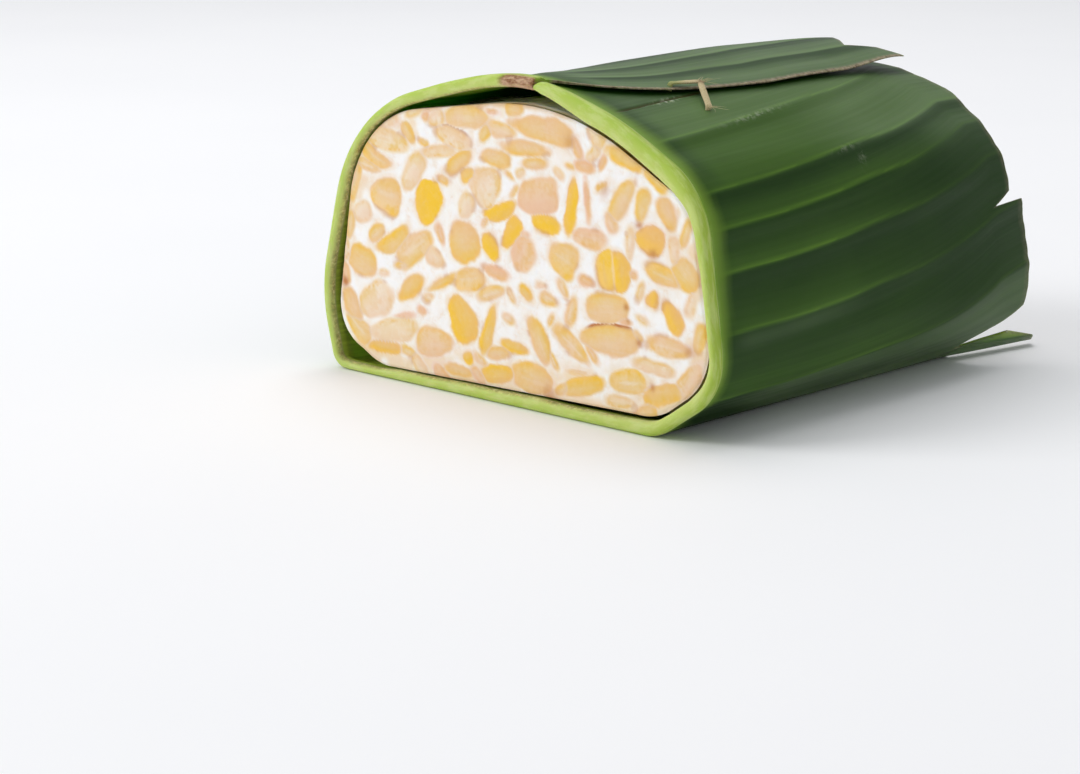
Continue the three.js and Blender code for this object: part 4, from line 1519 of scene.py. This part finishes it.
class BeanField:
    """Cut beans scattered over a flat face, with what each point of the face sees of them.

    A bean is an oval |a/long|^n + |b/wide|^n = 1 in its own turned axes, grown a little, drawn in
    to an egg, with its edge waved by noise. Each point belongs to the bean that it lies deepest
    in. BLUR is the width in mm of a pale and of a golden bean's edge, and FILM how tan the
    threads get for each cause that `film` names. DOME, FLUFF, LINT and GROOVE are heights in mm:
    of a bean's middle, of the threads, of the finest fibres and of the line where beans meet.
    """

    OVALNESS = 2.2
    GROWTH = (1.06, 1.15)
    EGG = 0.24
    WAVE = 0.14
    BLUR = (1.5, 0.75)
    FILM = (0.4, 0.18, 0.75, 0.62, 0.58)
    SEAM = 1.15
    DOME = 0.1
    FLUFF = 0.09
    LINT = 0.035
    GROOVE = 0.05

    def __init__(self, beans: tuple[Bean, ...], seed: int) -> None:
        """Keeps the beans and makes the noise that waves their edges."""
        self.beans = beans
        self.rough = SoftNoise(seed)
        self.spread = np.random.default_rng(seed).uniform(-1.0, 1.0, (len(beans), 3))

    def depth_in(self, bean: Bean, dx: Array, dz: Array) -> tuple[Array, Array, Array]:
        """How deep points lie in a bean, and their places along and across it.

        Args:
            bean: the bean.
            dx: offsets across from its middle.
            dz: offsets up from its middle.

        Returns:
            Depth inside its edge in mm, and the two places as shares of its half sizes.
        """
        turn = math.radians(bean.turn)
        a = (dx * math.cos(turn) + dz * math.sin(turn)) / (bean.long * self.GROWTH[0])
        b = (dz * math.cos(turn) - dx * math.sin(turn)) / (bean.wide * self.GROWTH[1])
        b = b + bean.bow * (np.square(a) - 0.33)
        blunt = self.EGG * math.sin(7.0 * bean.across + 3.0 * bean.up)
        b = b * (1.0 + blunt * np.clip(a, -1.2, 1.2))
        r = (np.abs(a) ** self.OVALNESS + np.abs(b) ** self.OVALNESS) ** (1 / self.OVALNESS)
        away = np.hypot(dx, dz)
        ray = np.where(r > 0.05, away / np.maximum(r, 0.05), bean.wide)
        wave = self.WAVE * self.rough.at(bean.across + dx, bean.up + dz, 3.0, 3.0, 2)
        return (1.0 + wave - r) * np.minimum(ray, 1.6 * bean.wide), a, b

    def read(self, x: Array, z: Array) -> dict[str, Array]:
        """What each point of the face sees.

        Args:
            x: places across, mm.
            z: places up, mm.

        Returns:
            depth in the deepest bean, the depth in the next, the bean's number, the places along
            and across it.
        """
        best, next_best = np.full(x.shape, -9.0), np.full(x.shape, -9.0)
        number = np.zeros(x.shape, int)
        along, over = np.zeros(x.shape), np.zeros(x.shape)
        for i, bean in enumerate(self.beans):
            far = bean.long * 1.3 + 2.5
            near = np.nonzero((np.abs(x - bean.across) < far) & (np.abs(z - bean.up) < far))
            depth, a, b = self.depth_in(bean, x[near] - bean.across, z[near] - bean.up)
            wins = depth > best[near]
            next_best[near] = np.where(wins, best[near], np.maximum(next_best[near], depth))
            best[near] = np.where(wins, depth, best[near])
            number[near] = np.where(wins, i, number[near])
            along[near] = np.where(wins, a, along[near])
            over[near] = np.where(wins, b, over[near])
        return {"depth": best, "next": next_best, "number": number, "along": along, "over": over}

    def look(self, x: Array, z: Array, gap: Array) -> tuple[dict[str, Array], Array]:
        """The traits of the face's finish and its relief.

        Args:
            x: places across, mm.
            z: places up, mm.
            gap: how far each point is from the outline, mm.

        Returns:
            The traits, and the relief in mm, positive outward.
        """
        seen = self.read(x, z) | {"x": x, "z": z, "gap": gap}
        seen["fine"] = self.rough.at(x, z, 0.7, 0.7, 2)
        seen["broad"] = self.rough.at(x + 40.0, z, 3.2, 3.2, 2)
        seen["wide"] = self.rough.at(x - 30.0, z + 20.0, 9.0, 9.0, 2)
        seen["line"] = bell((seen["depth"] - seen["next"]) / 0.5) * ease((seen["next"] + 0.2) / 0.6)
        own = self.spread[seen["number"]]
        lean = seen["over"] * np.sign(own[:, 0] + 0.01) + 0.5 * own[:, 1] * seen["along"]
        seen["side"] = 0.5 - 0.5 * np.tanh(1.7 * (lean + 0.1))
        bean = self.cover(seen)
        gold, blush = self.hue(seen)
        crack, rust = self.seams(seen), self.rusting(seen)
        for spot in STAINS:
            away = np.hypot(x - spot.across, z - spot.up)
            near = bell(away / (spot.radius * (1.0 + 0.3 * seen["fine"])))
            rust, crack = rust + spot.rust * near, crack + spot.dark * near
        fluff = self.FLUFF * self.rough.at(x, z, 1.3, 1.3, 3) + self.LINT * seen["fine"]
        relief = fluff * (1.0 - 0.75 * bean) + self.DOME * ease(seen["depth"] / 2.4)
        relief = relief - self.GROOVE * seen["line"]
        traits = {
            "bean": np.clip(np.maximum(bean, self.film(seen)), 0.0, 1.0),
            "gold": np.clip(gold, 0.0, 1.0),
            "blush": np.clip(blush, 0.0, 1.0),
            "crack": np.clip(crack, 0.0, 0.95),
            "rust": np.clip(rust, 0.0, 0.8),
        }
        return traits, relief

    def tint(self, seen: dict[str, Array]) -> tuple[Array, Array, Array]:
        """How golden, blushed and veiled the bean at each point is."""
        return tuple(np.array([bean.tint.value for bean in self.beans])[seen["number"]].T)

    def cover(self, seen: dict[str, Array]) -> Array:
        """How much of a bean shows at each point: its blurred outline less the threads over it.

        Args:
            seen: what each point sees, from `read` and `look`.

        Returns:
            Shares from 0 to 1.
        """
        golden, _, veiled = self.tint(seen)
        own = self.spread[seen["number"]][:, 2]
        fine, broad = seen["fine"], seen["broad"]
        blur = mix(*self.BLUR, golden)
        edge = ease((seen["depth"] + 0.5 * blur + 0.18 * fine + 0.25 * broad) / blur)
        veil = np.clip((0.7 * veiled + 0.1 * own) * (0.7 + 0.7 * seen["side"]), 0.0, 0.85)
        return edge * (1.0 - 0.3 * seen["line"]) * (1.0 - veil * ease(0.5 + 1.1 * broad + 0.7 * fine))

    def film(self, seen: dict[str, Array]) -> Array:
        """How tan the threads are: round golden beans, in wide clouds, along the skin and below.

        Args:
            seen: what each point sees, from `read` and `look`.

        Returns:
            Shares from 0 to 1.
        """
        golden, _, _ = self.tint(seen)
        broad, wide, gap = seen["broad"], seen["wide"], seen["gap"]
        halo = ease((seen["depth"] + 1.4) / 1.3) * ease((golden - 0.1) / 0.5) * ease(0.55 + 1.3 * broad)
        cloud = ease(1.4 * wide + 0.5 * broad)
        skin = (1.0 - ease((gap - 0.4 - 1.3 * broad) / 1.9)) * ease(0.55 + 1.1 * wide)
        border = (1.0 - ease((gap - 2.5) / 9.0)) * ease(0.4 + broad + 0.9 * wide)
        low = seen["z"] - 0.14 * np.clip(seen["x"] - 5.0, 0.0, 35.0)
        foot = (1.0 - ease((low - 6.0) / 6.5)) * ease(0.8 + broad)
        shares = zip(self.FILM, (halo, cloud, skin, border, foot))
        return np.max([share * part for share, part in shares], axis=0)

    def hue(self, seen: dict[str, Array]) -> tuple[Array, Array]:
        """How golden and how blushed each point is.

        A bean is paler in its core and toward one side, deeper along its rim, and some show the
        pale line of the germ. Threads outside the beans keep a tan of their own.

        Args:
            seen: what each point sees, from `read` and `look`.

        Returns:
            Gold and blush, about 0 to 1.
        """
        golden, blushed, _ = self.tint(seen)
        depth, side, broad = seen["depth"], seen["side"], seen["broad"]
        along, over = seen["along"], seen["over"]
        own = self.spread[seen["number"]]
        streak = self.rough.at(along * 3.0, over * 4.0 + seen["number"] * 7.0, 1.6, 0.5, 2)
        core = 1.0 - ease(np.minimum(np.hypot(along, over), 1.4) / 0.8)
        rim = bell((depth - 0.6) / 0.55) * (0.35 + 0.65 * side)
        germ = bell((over - 0.2 * own[:, 0]) / 0.13) * (1.0 - ease((np.abs(along) - 0.4) / 0.3))
        germ = germ * ease((own[:, 2] + 0.1) / 0.5) * (depth > 0.4)
        gold = golden + 0.1 * own[:, 0] + 0.1 * streak + 0.22 * rim - 0.25 * germ
        gold = gold - 0.22 * core * (1.0 - 0.6 * golden) - 0.35 * golden * (1.0 - ease(depth / 0.7))
        gold = gold + 0.5 * (side - 0.5) * (0.3 + 0.6 * golden)
        blush = blushed + 0.12 * own[:, 1] + 0.2 * broad + 0.14 * rim
        blush = blush + 0.3 * (0.5 - side) + 0.2 * golden * (1.0 - ease(depth / 0.8))
        inside = depth > -0.4
        return np.where(inside, gold, 0.38), np.where(inside, blush, 0.25 + 0.25 * broad)

    def seams(self, seen: dict[str, Array]) -> Array:
        """How dark the open seam along one long side of a cracked bean is.

        Args:
            seen: what each point sees, from `read` and `look`.

        Returns:
            Darkness, 0 and up.
        """
        opened = np.array([bean.crack for bean in self.beans])[seen["number"]]
        reach = 1.0 - ease((np.abs(seen["along"]) - 0.55) / 0.35)
        facing = ease((seen["over"] * np.sign(opened) - 0.45) / 0.3)
        return self.SEAM * np.abs(opened) * bell((seen["depth"] - 0.05) / 0.46) * facing * reach

    def rusting(self, seen: dict[str, Array]) -> Array:
        """How rusty each point is: on patches of the rims, where beans meet, and along the skin.

        Args:
            seen: what each point sees, from `read` and `look`.

        Returns:
            Rust, 0 and up.
        """
        golden, _, _ = self.tint(seen)
        patches = ease((self.rough.at(seen["x"], seen["z"], 2.6, 2.6) - 0.45) / 0.3)
        rims = 0.34 * bell((seen["depth"] - 0.1) / 0.6) * patches
        skin = 0.28 * bell((seen["gap"] - 0.2) / 0.5) * ease(0.6 + seen["wide"])
        return rims + 0.3 * seen["line"] * (1.0 - golden) + skin


@dataclass
class TempehCake:
    """Half a cake of tempeh: a knife-cut face in front, and a mould crust round the rest."""

    line: SectionLine = field(default_factory=lambda: CAKE_LINE)
    centre: tuple[float, float] = (0.0, 31.7)
    half: tuple[float, float] = (50.0, 29.0)
    face_y: float = 1.2
    back_y: float = 103.0
    end_round: float = 12.0
    edge_round: float = 0.5
    crown: tuple[float, float, float] = (0.7, 41.7, 18.0)
    sag: tuple[float, float, float, float, float] = (1.1, 4.5, 4.0, 9.7, 5.0)
    grid: tuple[int, int] = (302, 182)
    side_y: float = 2.9
    crust_from: float = 4.0
    side_step: float = 2.0
    round_rows: int = 13
    cap_rows: int = 26
    seed: int = 71
    spare_beans: int = 2600
    edge_zone: float = 5.0
    edge_longs: tuple[float, float] = (2.4, 4.6)
    spare_longs: tuple[float, float] = (1.5, 3.4)
    spare_widths: tuple[float, float] = (0.36, 0.62)
    bean_share: float = 0.55
    edge_room: float = -0.9
    spare_room: float = 0.1
    crust_beans: int = 800
    crust_long: tuple[float, float] = (4.2, 6.2)
    crust_wide: tuple[float, float] = (2.6, 3.6)
    bean_lift: float = 0.75
    crust_sink: float = 0.85
    crust_fuzz: float = 0.2

    def face_beans(self) -> tuple[Bean, ...]:
        """The landmark beans and small seeded ones that fill part of the room between them."""
        draw = np.random.default_rng(self.seed)
        beans = list(LANDMARK_BEANS)
        tints = (Tint.PALE, Tint.PALE, Tint.PEACH, Tint.TAN, Tint.HONEY, Tint.ROSE)
        for _ in range(self.spare_beans):
            angle, share = draw.uniform(0, 2 * math.pi), math.sqrt(draw.uniform(0, 1))
            reach = float(self.line.reach(np.array([angle]), self.centre)[0])
            across = self.centre[0] + share * reach * math.cos(angle)
            up = self.centre[1] + share * reach * math.sin(angle)
            edge = reach * (1.0 - share)
            outer = edge < self.edge_zone
            long = draw.uniform(*(self.edge_longs if outer else self.spare_longs))
            wide = long * draw.uniform(*self.spare_widths)
            if outer:
                turn = math.degrees(angle) + 90.0 + draw.uniform(-25, 25)
            else:
                turn = draw.uniform(0, 180)
            tint = tints[draw.integers(len(tints))]
            room = self.edge_room if edge < self.edge_zone + 1.0 else self.spare_room
            size = self.bean_share * (long + wide)
            near = min(
                math.hypot(across - b.across, up - b.up) - self.bean_share * (b.long + b.wide) - size
                for b in beans
            )
            if near > room and (edge > 1.0 or draw.uniform() < 0.9):
                beans.append(Bean(across, up, long, wide, turn, tint))
        return tuple(beans)

    def shape(self, x: Array, y: Array, z: Array) -> Array:
        """Adds the crown along the top, the sag of the underside and the draw to the back.

        Args:
            x: places across.
            y: places behind the front.
            z: places up.

        Returns:
            The points as rows of x, y and z.
        """
        rise, crown_from, crown_run = self.crown
        middle = np.sin(math.pi * np.clip((y - self.face_y) / (self.back_y - self.face_y), 0.0, 1.0))
        z = z + rise * middle * ease((z - crown_from) / crown_run)
        drop, sag_from, sag_run, below, height = self.sag
        z = z - drop * ease((below - z) / height) * ease((y - sag_from) / sag_run)
        return TAPER(x, y, z)

    def face(self) -> tuple[Array, dict[str, Array], Array]:
        """The cut face as a grid bent to the outline, and the order of its border.

        Returns:
            Points, traits and the numbers of the border's points in order.
        """
        columns, rows = self.grid
        u, v = np.meshgrid(np.linspace(-1, 1, columns), np.linspace(-1, 1, rows))
        share = np.maximum(np.abs(u), np.abs(v))
        angle = np.arctan2(self.half[1] * v, self.half[0] * u)
        reach = self.line.reach(angle, self.centre)
        x = self.centre[0] + share * reach * np.cos(angle)
        z = self.centre[1] + share * reach * np.sin(angle)
        beans = BeanField(self.face_beans(), self.seed + 1)
        gap = (1.0 - share) * reach
        traits, relief = beans.look(x.ravel(), z.ravel(), gap.ravel())
        inside = np.clip((self.edge_round - gap) / self.edge_round, 0.0, 1.0)
        rounded = self.edge_round * (1.0 - np.sqrt(1.0 - np.square(inside) * 0.96))
        knife = SoftNoise(self.seed + 2)
        wave = 0.16 * knife.at(x, z, 13.0, 9.0, 2) + 0.05 * knife.at(x * 0.2, z, 6.0, 1.6)
        y = self.face_y + rounded + wave * ease(gap / 3.0) - relief.reshape(x.shape)
        ring = np.concatenate(
            [
                np.arange(columns - 1),
                np.arange(rows - 1) * columns + columns - 1,
                (rows - 1) * columns + np.arange(columns - 1, 0, -1),
                np.arange(rows - 1, 0, -1) * columns,
            ]
        )
        return self.shape(x.ravel(), y.ravel(), z.ravel()), traits, ring

    def crust_bumps(self, points: Array, normals: Array, share: Array) -> tuple[Array, Array]:
        """Beans under the crust: how far each point stands out, and how near a bean it is.

        A bean is an ellipsoid, with r the distance from its middle in its own axes, and it lifts
        the crust by sqrt(1 - r^2).

        Args:
            points: points of the crust.
            normals: their directions outward.
            share: the share of the crust's area that each stands for.

        Returns:
            Lift from 0 to 1 and the number from 0 to 1 drawn for the bean.
        """
        draw = np.random.default_rng(self.seed + 3)
        lift, number = np.zeros(len(points)), np.zeros(len(points))
        for middle in draw.choice(len(points), self.crust_beans, replace=False, p=share):
            away = points - points[middle]
            near = np.nonzero(np.abs(away).max(1) < self.crust_long[1] + 0.8)[0]
            turn = unit(np.cross(normals[middle], draw.normal(size=3)))
            other = np.cross(normals[middle], turn)
            long, wide = draw.uniform(*self.crust_long), draw.uniform(*self.crust_wide)
            a, b = away[near] @ turn / long, away[near] @ other / wide
            c = away[near] @ normals[middle] / wide
            rise = np.sqrt(np.clip(1.0 - a * a - b * b - c * c, 0.0, 1.0)) * draw.uniform(0.6, 1.0)
            wins = rise > lift[near]
            lift[near] = np.where(wins, rise, lift[near])
            number[near] = np.where(wins, draw.uniform(), number[near])
        return lift, number

    def crust(self, border: Array) -> tuple[Array, dict[str, Array]]:
        """Rows of points behind the border of the face, down to the rounded back end.

        Args:
            border: every second point of the face's border row, after its shape.

        Returns:
            Points, rows of them one after the other, and their traits.
        """
        straight = self.back_y - self.end_round
        steps = round((straight - self.crust_from) / self.side_step)
        ys = np.linspace(self.crust_from, straight, steps)
        turn = np.radians(np.linspace(0.0, 90.0, self.round_rows + 1))[1:]
        flat = np.linspace(0.0, 1.0, self.cap_rows + 2)[1:-1]
        cap = np.ones(self.cap_rows)
        ys = np.concatenate([ys, straight + self.end_round * np.sin(turn), self.back_y * cap])
        inset = np.concatenate([np.zeros(steps), self.end_round * (1 - np.cos(turn)), self.end_round * cap])
        shrink = np.concatenate([np.ones(steps + self.round_rows), 1.0 - flat])
        arms = border - np.array([self.centre[0], 0.0, self.centre[1]])
        reach = np.hypot(arms[:, 0], arms[:, 2])
        scale = (1.0 - inset[:, None] / np.minimum(reach, self.half[1] + 2.0)) * shrink[:, None]
        x = self.centre[0] + arms[:, 0] * scale
        z = self.centre[1] + arms[:, 2] * scale
        y = np.tile(ys[:, None], (1, len(border)))
        flat_points = np.stack([x, y, z], -1)
        across = np.roll(flat_points, -1, 1) - np.roll(flat_points, 1, 1)
        back = np.gradient(flat_points, axis=0)
        normals = np.cross(back, across)
        area = np.linalg.norm(normals, axis=-1, keepdims=True)
        normals = normals / np.maximum(area, 1e-6)
        normals[-1] = (0.0, 1.0, 0.0)
        if np.sum(normals[2] * arms[:, :3] * (1, 0, 1)) < 0:
            normals = -normals
        points, normals = flat_points.reshape(-1, 3), normals.reshape(-1, 3)
        lift, number = self.crust_bumps(points, normals, area.ravel() / area.sum())
        fuzz = SoftNoise(self.seed + 4)
        rough = fuzz.at(points[:, 0] + points[:, 1], points[:, 2] + 0.7 * points[:, 1], 2.2, 2.2, 3)
        out = self.bean_lift * lift - self.crust_sink + self.crust_fuzz * rough
        out = out * np.repeat(ease((ys - self.crust_from) / 3.0), len(border))
        points = points + normals * out[:, None]
        veil = np.clip(lift - 0.25 + 0.25 * rough, 0.0, 1.0)
        traits = {
            "bean": 0.75 * veil,
            "gold": 0.25 + 0.4 * number,
            "blush": 0.15 + 0.2 * number,
            "crack": np.zeros(len(points)),
            "rust": np.clip(rough - 0.55, 0.0, 0.3),
        }
        return self.shape(points[:, 0], points[:, 1], points[:, 2]), traits

    def skin(self) -> Skin:
        """The closed skin of the cake, with a coarser mesh behind the face."""
        columns, rows = self.grid
        face, traits, ring = self.face()
        count = len(ring)
        border = face[ring]
        side = border.copy()
        side[:, 1] = self.side_y
        coarse = border[::2].copy()
        crust, crust_traits = self.crust(coarse)
        pole = crust[-(count // 2) :].mean(0)[None]
        first_side, first_crust = len(face), len(face) + count
        last = first_crust + len(crust)
        k = np.arange(count)
        after = (k + 1) % count
        wall = np.stack([ring[k], ring[after], first_side + after, first_side + k], -1)
        h = np.arange(count // 2)
        fine, beyond = 2 * h, (2 * h + 2) % count
        next_h = (h + 1) % (count // 2)
        zipper = np.concatenate(
            [
                np.stack([first_side + fine, first_side + fine + 1, first_crust + h, first_crust + h], -1),
                np.stack(
                    [first_side + fine + 1, first_side + beyond, first_crust + next_h, first_crust + h],
                    -1,
                ),
            ]
        )
        depth = len(crust) // (count // 2)
        tube = ring_faces(depth, count // 2) + first_crust
        end = last - count // 2
        cap = np.stack([end + h, end + next_h, np.full_like(h, last), np.full_like(h, last)], -1)
        faces = np.vstack([grid_faces(rows, columns), wall, zipper, tube, cap])[:, ::-1]
        points = np.vstack([face, side, crust, pole])
        whole = {
            name: np.concatenate([traits[name], traits[name][ring], crust_traits[name], [0.2]])
            for name in traits
        }
        return Skin(points, faces, whole)

    def build(self) -> bpy.types.Object:
        """Makes the cake."""
        made = self.skin().to_object("tempeh_cake", TempehFinish().material(), "tempeh_block")
        return made


# ---- The splint ----


@dataclass(frozen=True)
class Station:
    """A point of the splint: distance past the sheet's start, distance back, and extra rise."""

    along: float
    back: float
    rise: float


@dataclass
class BambooSplint:
    """A flat splint that goes through the flap, bends sharply, and goes down through the layer."""

    leaf: LeafWrap
    width: float = 1.5
    thick: float = 0.5
    hover: float = 0.32
    through: float = 0.25
    bored: float = 0.8
    tip: Station = Station(16.6, 27.5, 0.0)
    bend: Station = Station(18.8, 33.9, 0.7)
    edge: Station = Station(21.2, 32.1, 0.25)
    foot: Station = Station(26.4, 28.7, 0.15)
    sides: int = 12
    step: float = 0.22
    seed: int = 5

    def stations(self) -> tuple[Array, Array]:
        """The path's corner points and the directions that its broad side faces."""
        hover = self.hover + self.thick / 2
        points = [
            self.leaf.spot(s.along, s.back, hover + s.rise, s is not self.foot)
            for s in (self.tip, self.bend, self.edge, self.foot)
        ]
        up = self.leaf.spot(self.tip.along, self.tip.back, hover + 1.0, True) - points[0]
        foot_up = (
            self.leaf.spot(self.foot.along, self.foot.back, hover + 1.0 + self.foot.rise, False)
            - points[-1]
        )
        up, foot_up = unit(up), unit(foot_up)
        back = np.array([0.0, 1.0, 0.0])
        depth = hover + self.bored + self.through
        path = [points[0] - up * depth, *points, points[-1] - foot_up * depth]
        facing = [-back, up, up, up, foot_up, -np.cross(foot_up, back)]
        return np.array(path), np.array(facing)

    def sweep(self, path: Array, facing: Array, width: Array, thick: Array, sides: int) -> Skin:
        """A closed strip swept along a path.

        The cross-section at angle a is (width/2 cos^0.7 a, thick/2 sin^0.7 a), signs kept.

        Args:
            path: points along the middle.
            facing: directions of the broad side.
            width: width at each point.
            thick: thickness at each point.
            sides: how many points go round.

        Returns:
            The skin, with its lie running along the strip.
        """
        along = unit(np.gradient(path, axis=0))
        side = unit(np.cross(facing, along))
        up = np.cross(along, side)
        angle = np.arange(sides) / sides * 2 * math.pi
        a = np.sign(np.cos(angle)) * np.abs(np.cos(angle)) ** 0.7
        b = np.sign(np.sin(angle)) * np.abs(np.sin(angle)) ** 0.7
        points = (
            path[:, None]
            + side[:, None] * (width[:, None] / 2 * a)[..., None]
            + up[:, None] * (thick[:, None] / 2 * b)[..., None]
        )
        far = run_along(path)
        count = len(path)
        ends = np.vstack([path[:1], path[-1:]])
        k = np.arange(sides)
        after = (k + 1) % sides
        head, tail = count * sides, count * sides + 1
        first = np.stack([k, after, np.full_like(k, head), np.full_like(k, head)], -1)[:, ::-1]
        start = (count - 1) * sides
        final = np.stack([start + k, start + after, np.full_like(k, tail), np.full_like(k, tail)], -1)
        lie_a = np.tile(angle / 10.0, (count, 1))
        lie_b = np.tile(far[:, None] / 10.0, (1, sides))
        lie = np.stack([lie_a, lie_b], -1).reshape(-1, 2)
        lie = np.vstack([lie, [[0.0, 0.0], [0.0, far[-1] / 10.0]]])
        return Skin(
            np.vstack([points.reshape(-1, 3), ends]),
            np.vstack([ring_faces(count, sides), first, final]),
            {"far": np.concatenate([np.repeat(far, sides), [0.0, far[-1]]])},
            lie,
        )

    def skin(self) -> Skin:
        """The splint itself: corners rounded by a running mean, width uneven by noise."""
        path, facing = self.stations()
        far = run_along(path)
        marks = np.arange(0.0, far[-1], self.step)
        blur = np.array([1, 2, 3, 2, 1]) / 9.0
        smooth, turned = (
            np.stack(
                [
                    np.convolve(np.pad(np.interp(marks, far, values[:, i]), 2, mode="edge"), blur, "valid")
                    for i in range(3)
                ],
                -1,
            )
            for values in (path, facing)
        )
        smooth[0], smooth[-1] = path[0], path[-1]
        turned = unit(turned)
        noise = SoftNoise(self.seed)
        width = self.width * (1.0 + 0.16 * noise.at(marks, marks * 0, 1.6, 1.0, 2))
        width = width * mix(0.8, 1.0, ease((marks - 1.3) / 3.0))
        thick = self.thick * (1.0 + 0.25 * noise.at(marks + 50, marks * 0, 1.2, 1.0, 2))
        swept = self.sweep(smooth, turned, width, thick, self.sides)
        at = swept.traits.pop("far")
        swept.traits["green"] = 0.8 * (1.0 - ease((at - far[1]) / 4.0))
        swept.traits["bend"] = 0.75 * bell((at - far[2]) / 0.9)
        return swept

    def strands(self) -> list[Skin]:
        """Loose fibres at the bend, at the flap's edge and at the foot."""
        draw = np.random.default_rng(self.seed + 1)
        path, facing = self.stations()
        bundles = []
        tufts = (
            (path[2], path[2] - path[1], 11, 3.4),
            (path[3], path[2] - path[3], 4, 2.4),
            (path[4], np.array([1.0, 0.25, -0.2]), 7, 2.2),
        )
        for middle, way, count, reach in tufts:
            way = unit(way)
            for _ in range(count):
                start = middle + draw.normal(size=3) * (0.32, 0.32, 0.06)
                aim = way + draw.normal(size=3) * (0.35, 0.35, 0.16)
                length = reach * draw.uniform(0.4, 1.0)
                t = np.linspace(0.0, 1.0, 7)[:, None]
                curl = draw.normal(size=3) * (0.5, 0.5, 0.15)
                line = start + aim * length * t + curl * t * t
                slim = 0.16 * draw.uniform(0.6, 1.2) * (1.0 - 0.75 * t[:, 0])
                strand = self.sweep(line, np.tile(facing[2], (7, 1)), slim, slim * 0.6, 5)
                none = np.zeros(len(strand.points))
                strand.traits = {"green": none, "bend": none}
                bundles.append(strand)
        return bundles

    def build(self) -> bpy.types.Object:
        """Makes the splint with its loose fibres."""
        whole = joined([self.skin(), *self.strands()])
        made = whole.to_object("bamboo_splint", SplintFinish().material(), "splint_pin")
        return made


# ---- Studio ----


@dataclass(frozen=True)
class SoftLight:
    """A square area light aimed at a point. Places and sizes in metres, power in watts."""

    name: str
    place: tuple[float, float, float]
    side: float
    power: float
    tint: str = "ffffff"
    aim: tuple[float, float, float] = (0.0, 0.0, 0.03)

    def build(self) -> None:
        """Makes the light."""
        lamp = bpy.data.lights.new(self.name, "AREA")
        lamp.size, lamp.energy = self.side, self.power
        lamp.color = paint(self.tint)[:3]
        made = bpy.data.objects.new(self.name, lamp)
        made.location = self.place
        made.rotation_euler = (Vector(self.aim) - Vector(self.place)).to_track_quat("-Z", "Y").to_euler()
        bpy.context.scene.collection.objects.link(made)


@dataclass
class Studio:
    """White table, soft lamps and the camera."""

    floor_half: float = 6.0
    world: str = "f6f8fb"
    world_power: float = 0.5
    lens: float = 86.9
    eye: tuple[float, float, float] = (0.35798, -0.43146, 0.12546)
    forward: tuple[float, float, float] = (-0.6674, 0.7083, -0.2300)
    lamps: tuple[SoftLight, ...] = (
        SoftLight("key", (-0.9, -1.15, 1.0), 0.8, 12.5),
        SoftLight("overhead", (-0.3, 0.3, 1.4), 1.0, 8.0),
        SoftLight("back", (-1.0, 1.06, 0.75), 1.2, 0.9),
    )

    def build(self) -> None:
        """Makes the floor, the world, the lamps and the camera."""
        scene = bpy.context.scene
        half = self.floor_half
        mesh = bpy.data.meshes.new("table_top")
        corners = [(-half, -half, 0), (half, -half, 0), (half, half, 0), (-half, half, 0)]
        mesh.from_pydata(corners, [], [(0, 1, 2, 3)])
        mesh.materials.append(TableFinish().material())
        floor = bpy.data.objects.new("table_top", mesh)
        scene.collection.objects.link(floor)
        world = bpy.data.worlds.new("studio")
        world.use_nodes = True
        sky = world.node_tree.nodes["Background"]
        sky.inputs["Color"].default_value = paint(self.world)
        sky.inputs["Strength"].default_value = self.world_power
        scene.world = world
        for lamp in self.lamps:
            lamp.build()
        lens = bpy.data.cameras.new("camera")
        lens.lens, lens.sensor_width, lens.sensor_fit = self.lens, 36.0, "HORIZONTAL"
        lens.clip_start = 0.01
        camera = bpy.data.objects.new("camera", lens)
        camera.location = self.eye
        camera.rotation_euler = Vector(self.forward).to_track_quat("-Z", "Y").to_euler()
        scene.collection.objects.link(camera)
        scene.camera = camera
        scene.view_settings.view_transform = "Standard"


def main() -> None:
    """Builds the pieces in order, then the studio."""
    logging.basicConfig(level=logging.INFO, format="%(name)s: %(message)s")
    leaf = LeafWrap()
    leaf.build()
    TempehCake().build()
    BambooSplint(leaf).build()
    Studio().build()


if __name__ == "__main__":
    main()
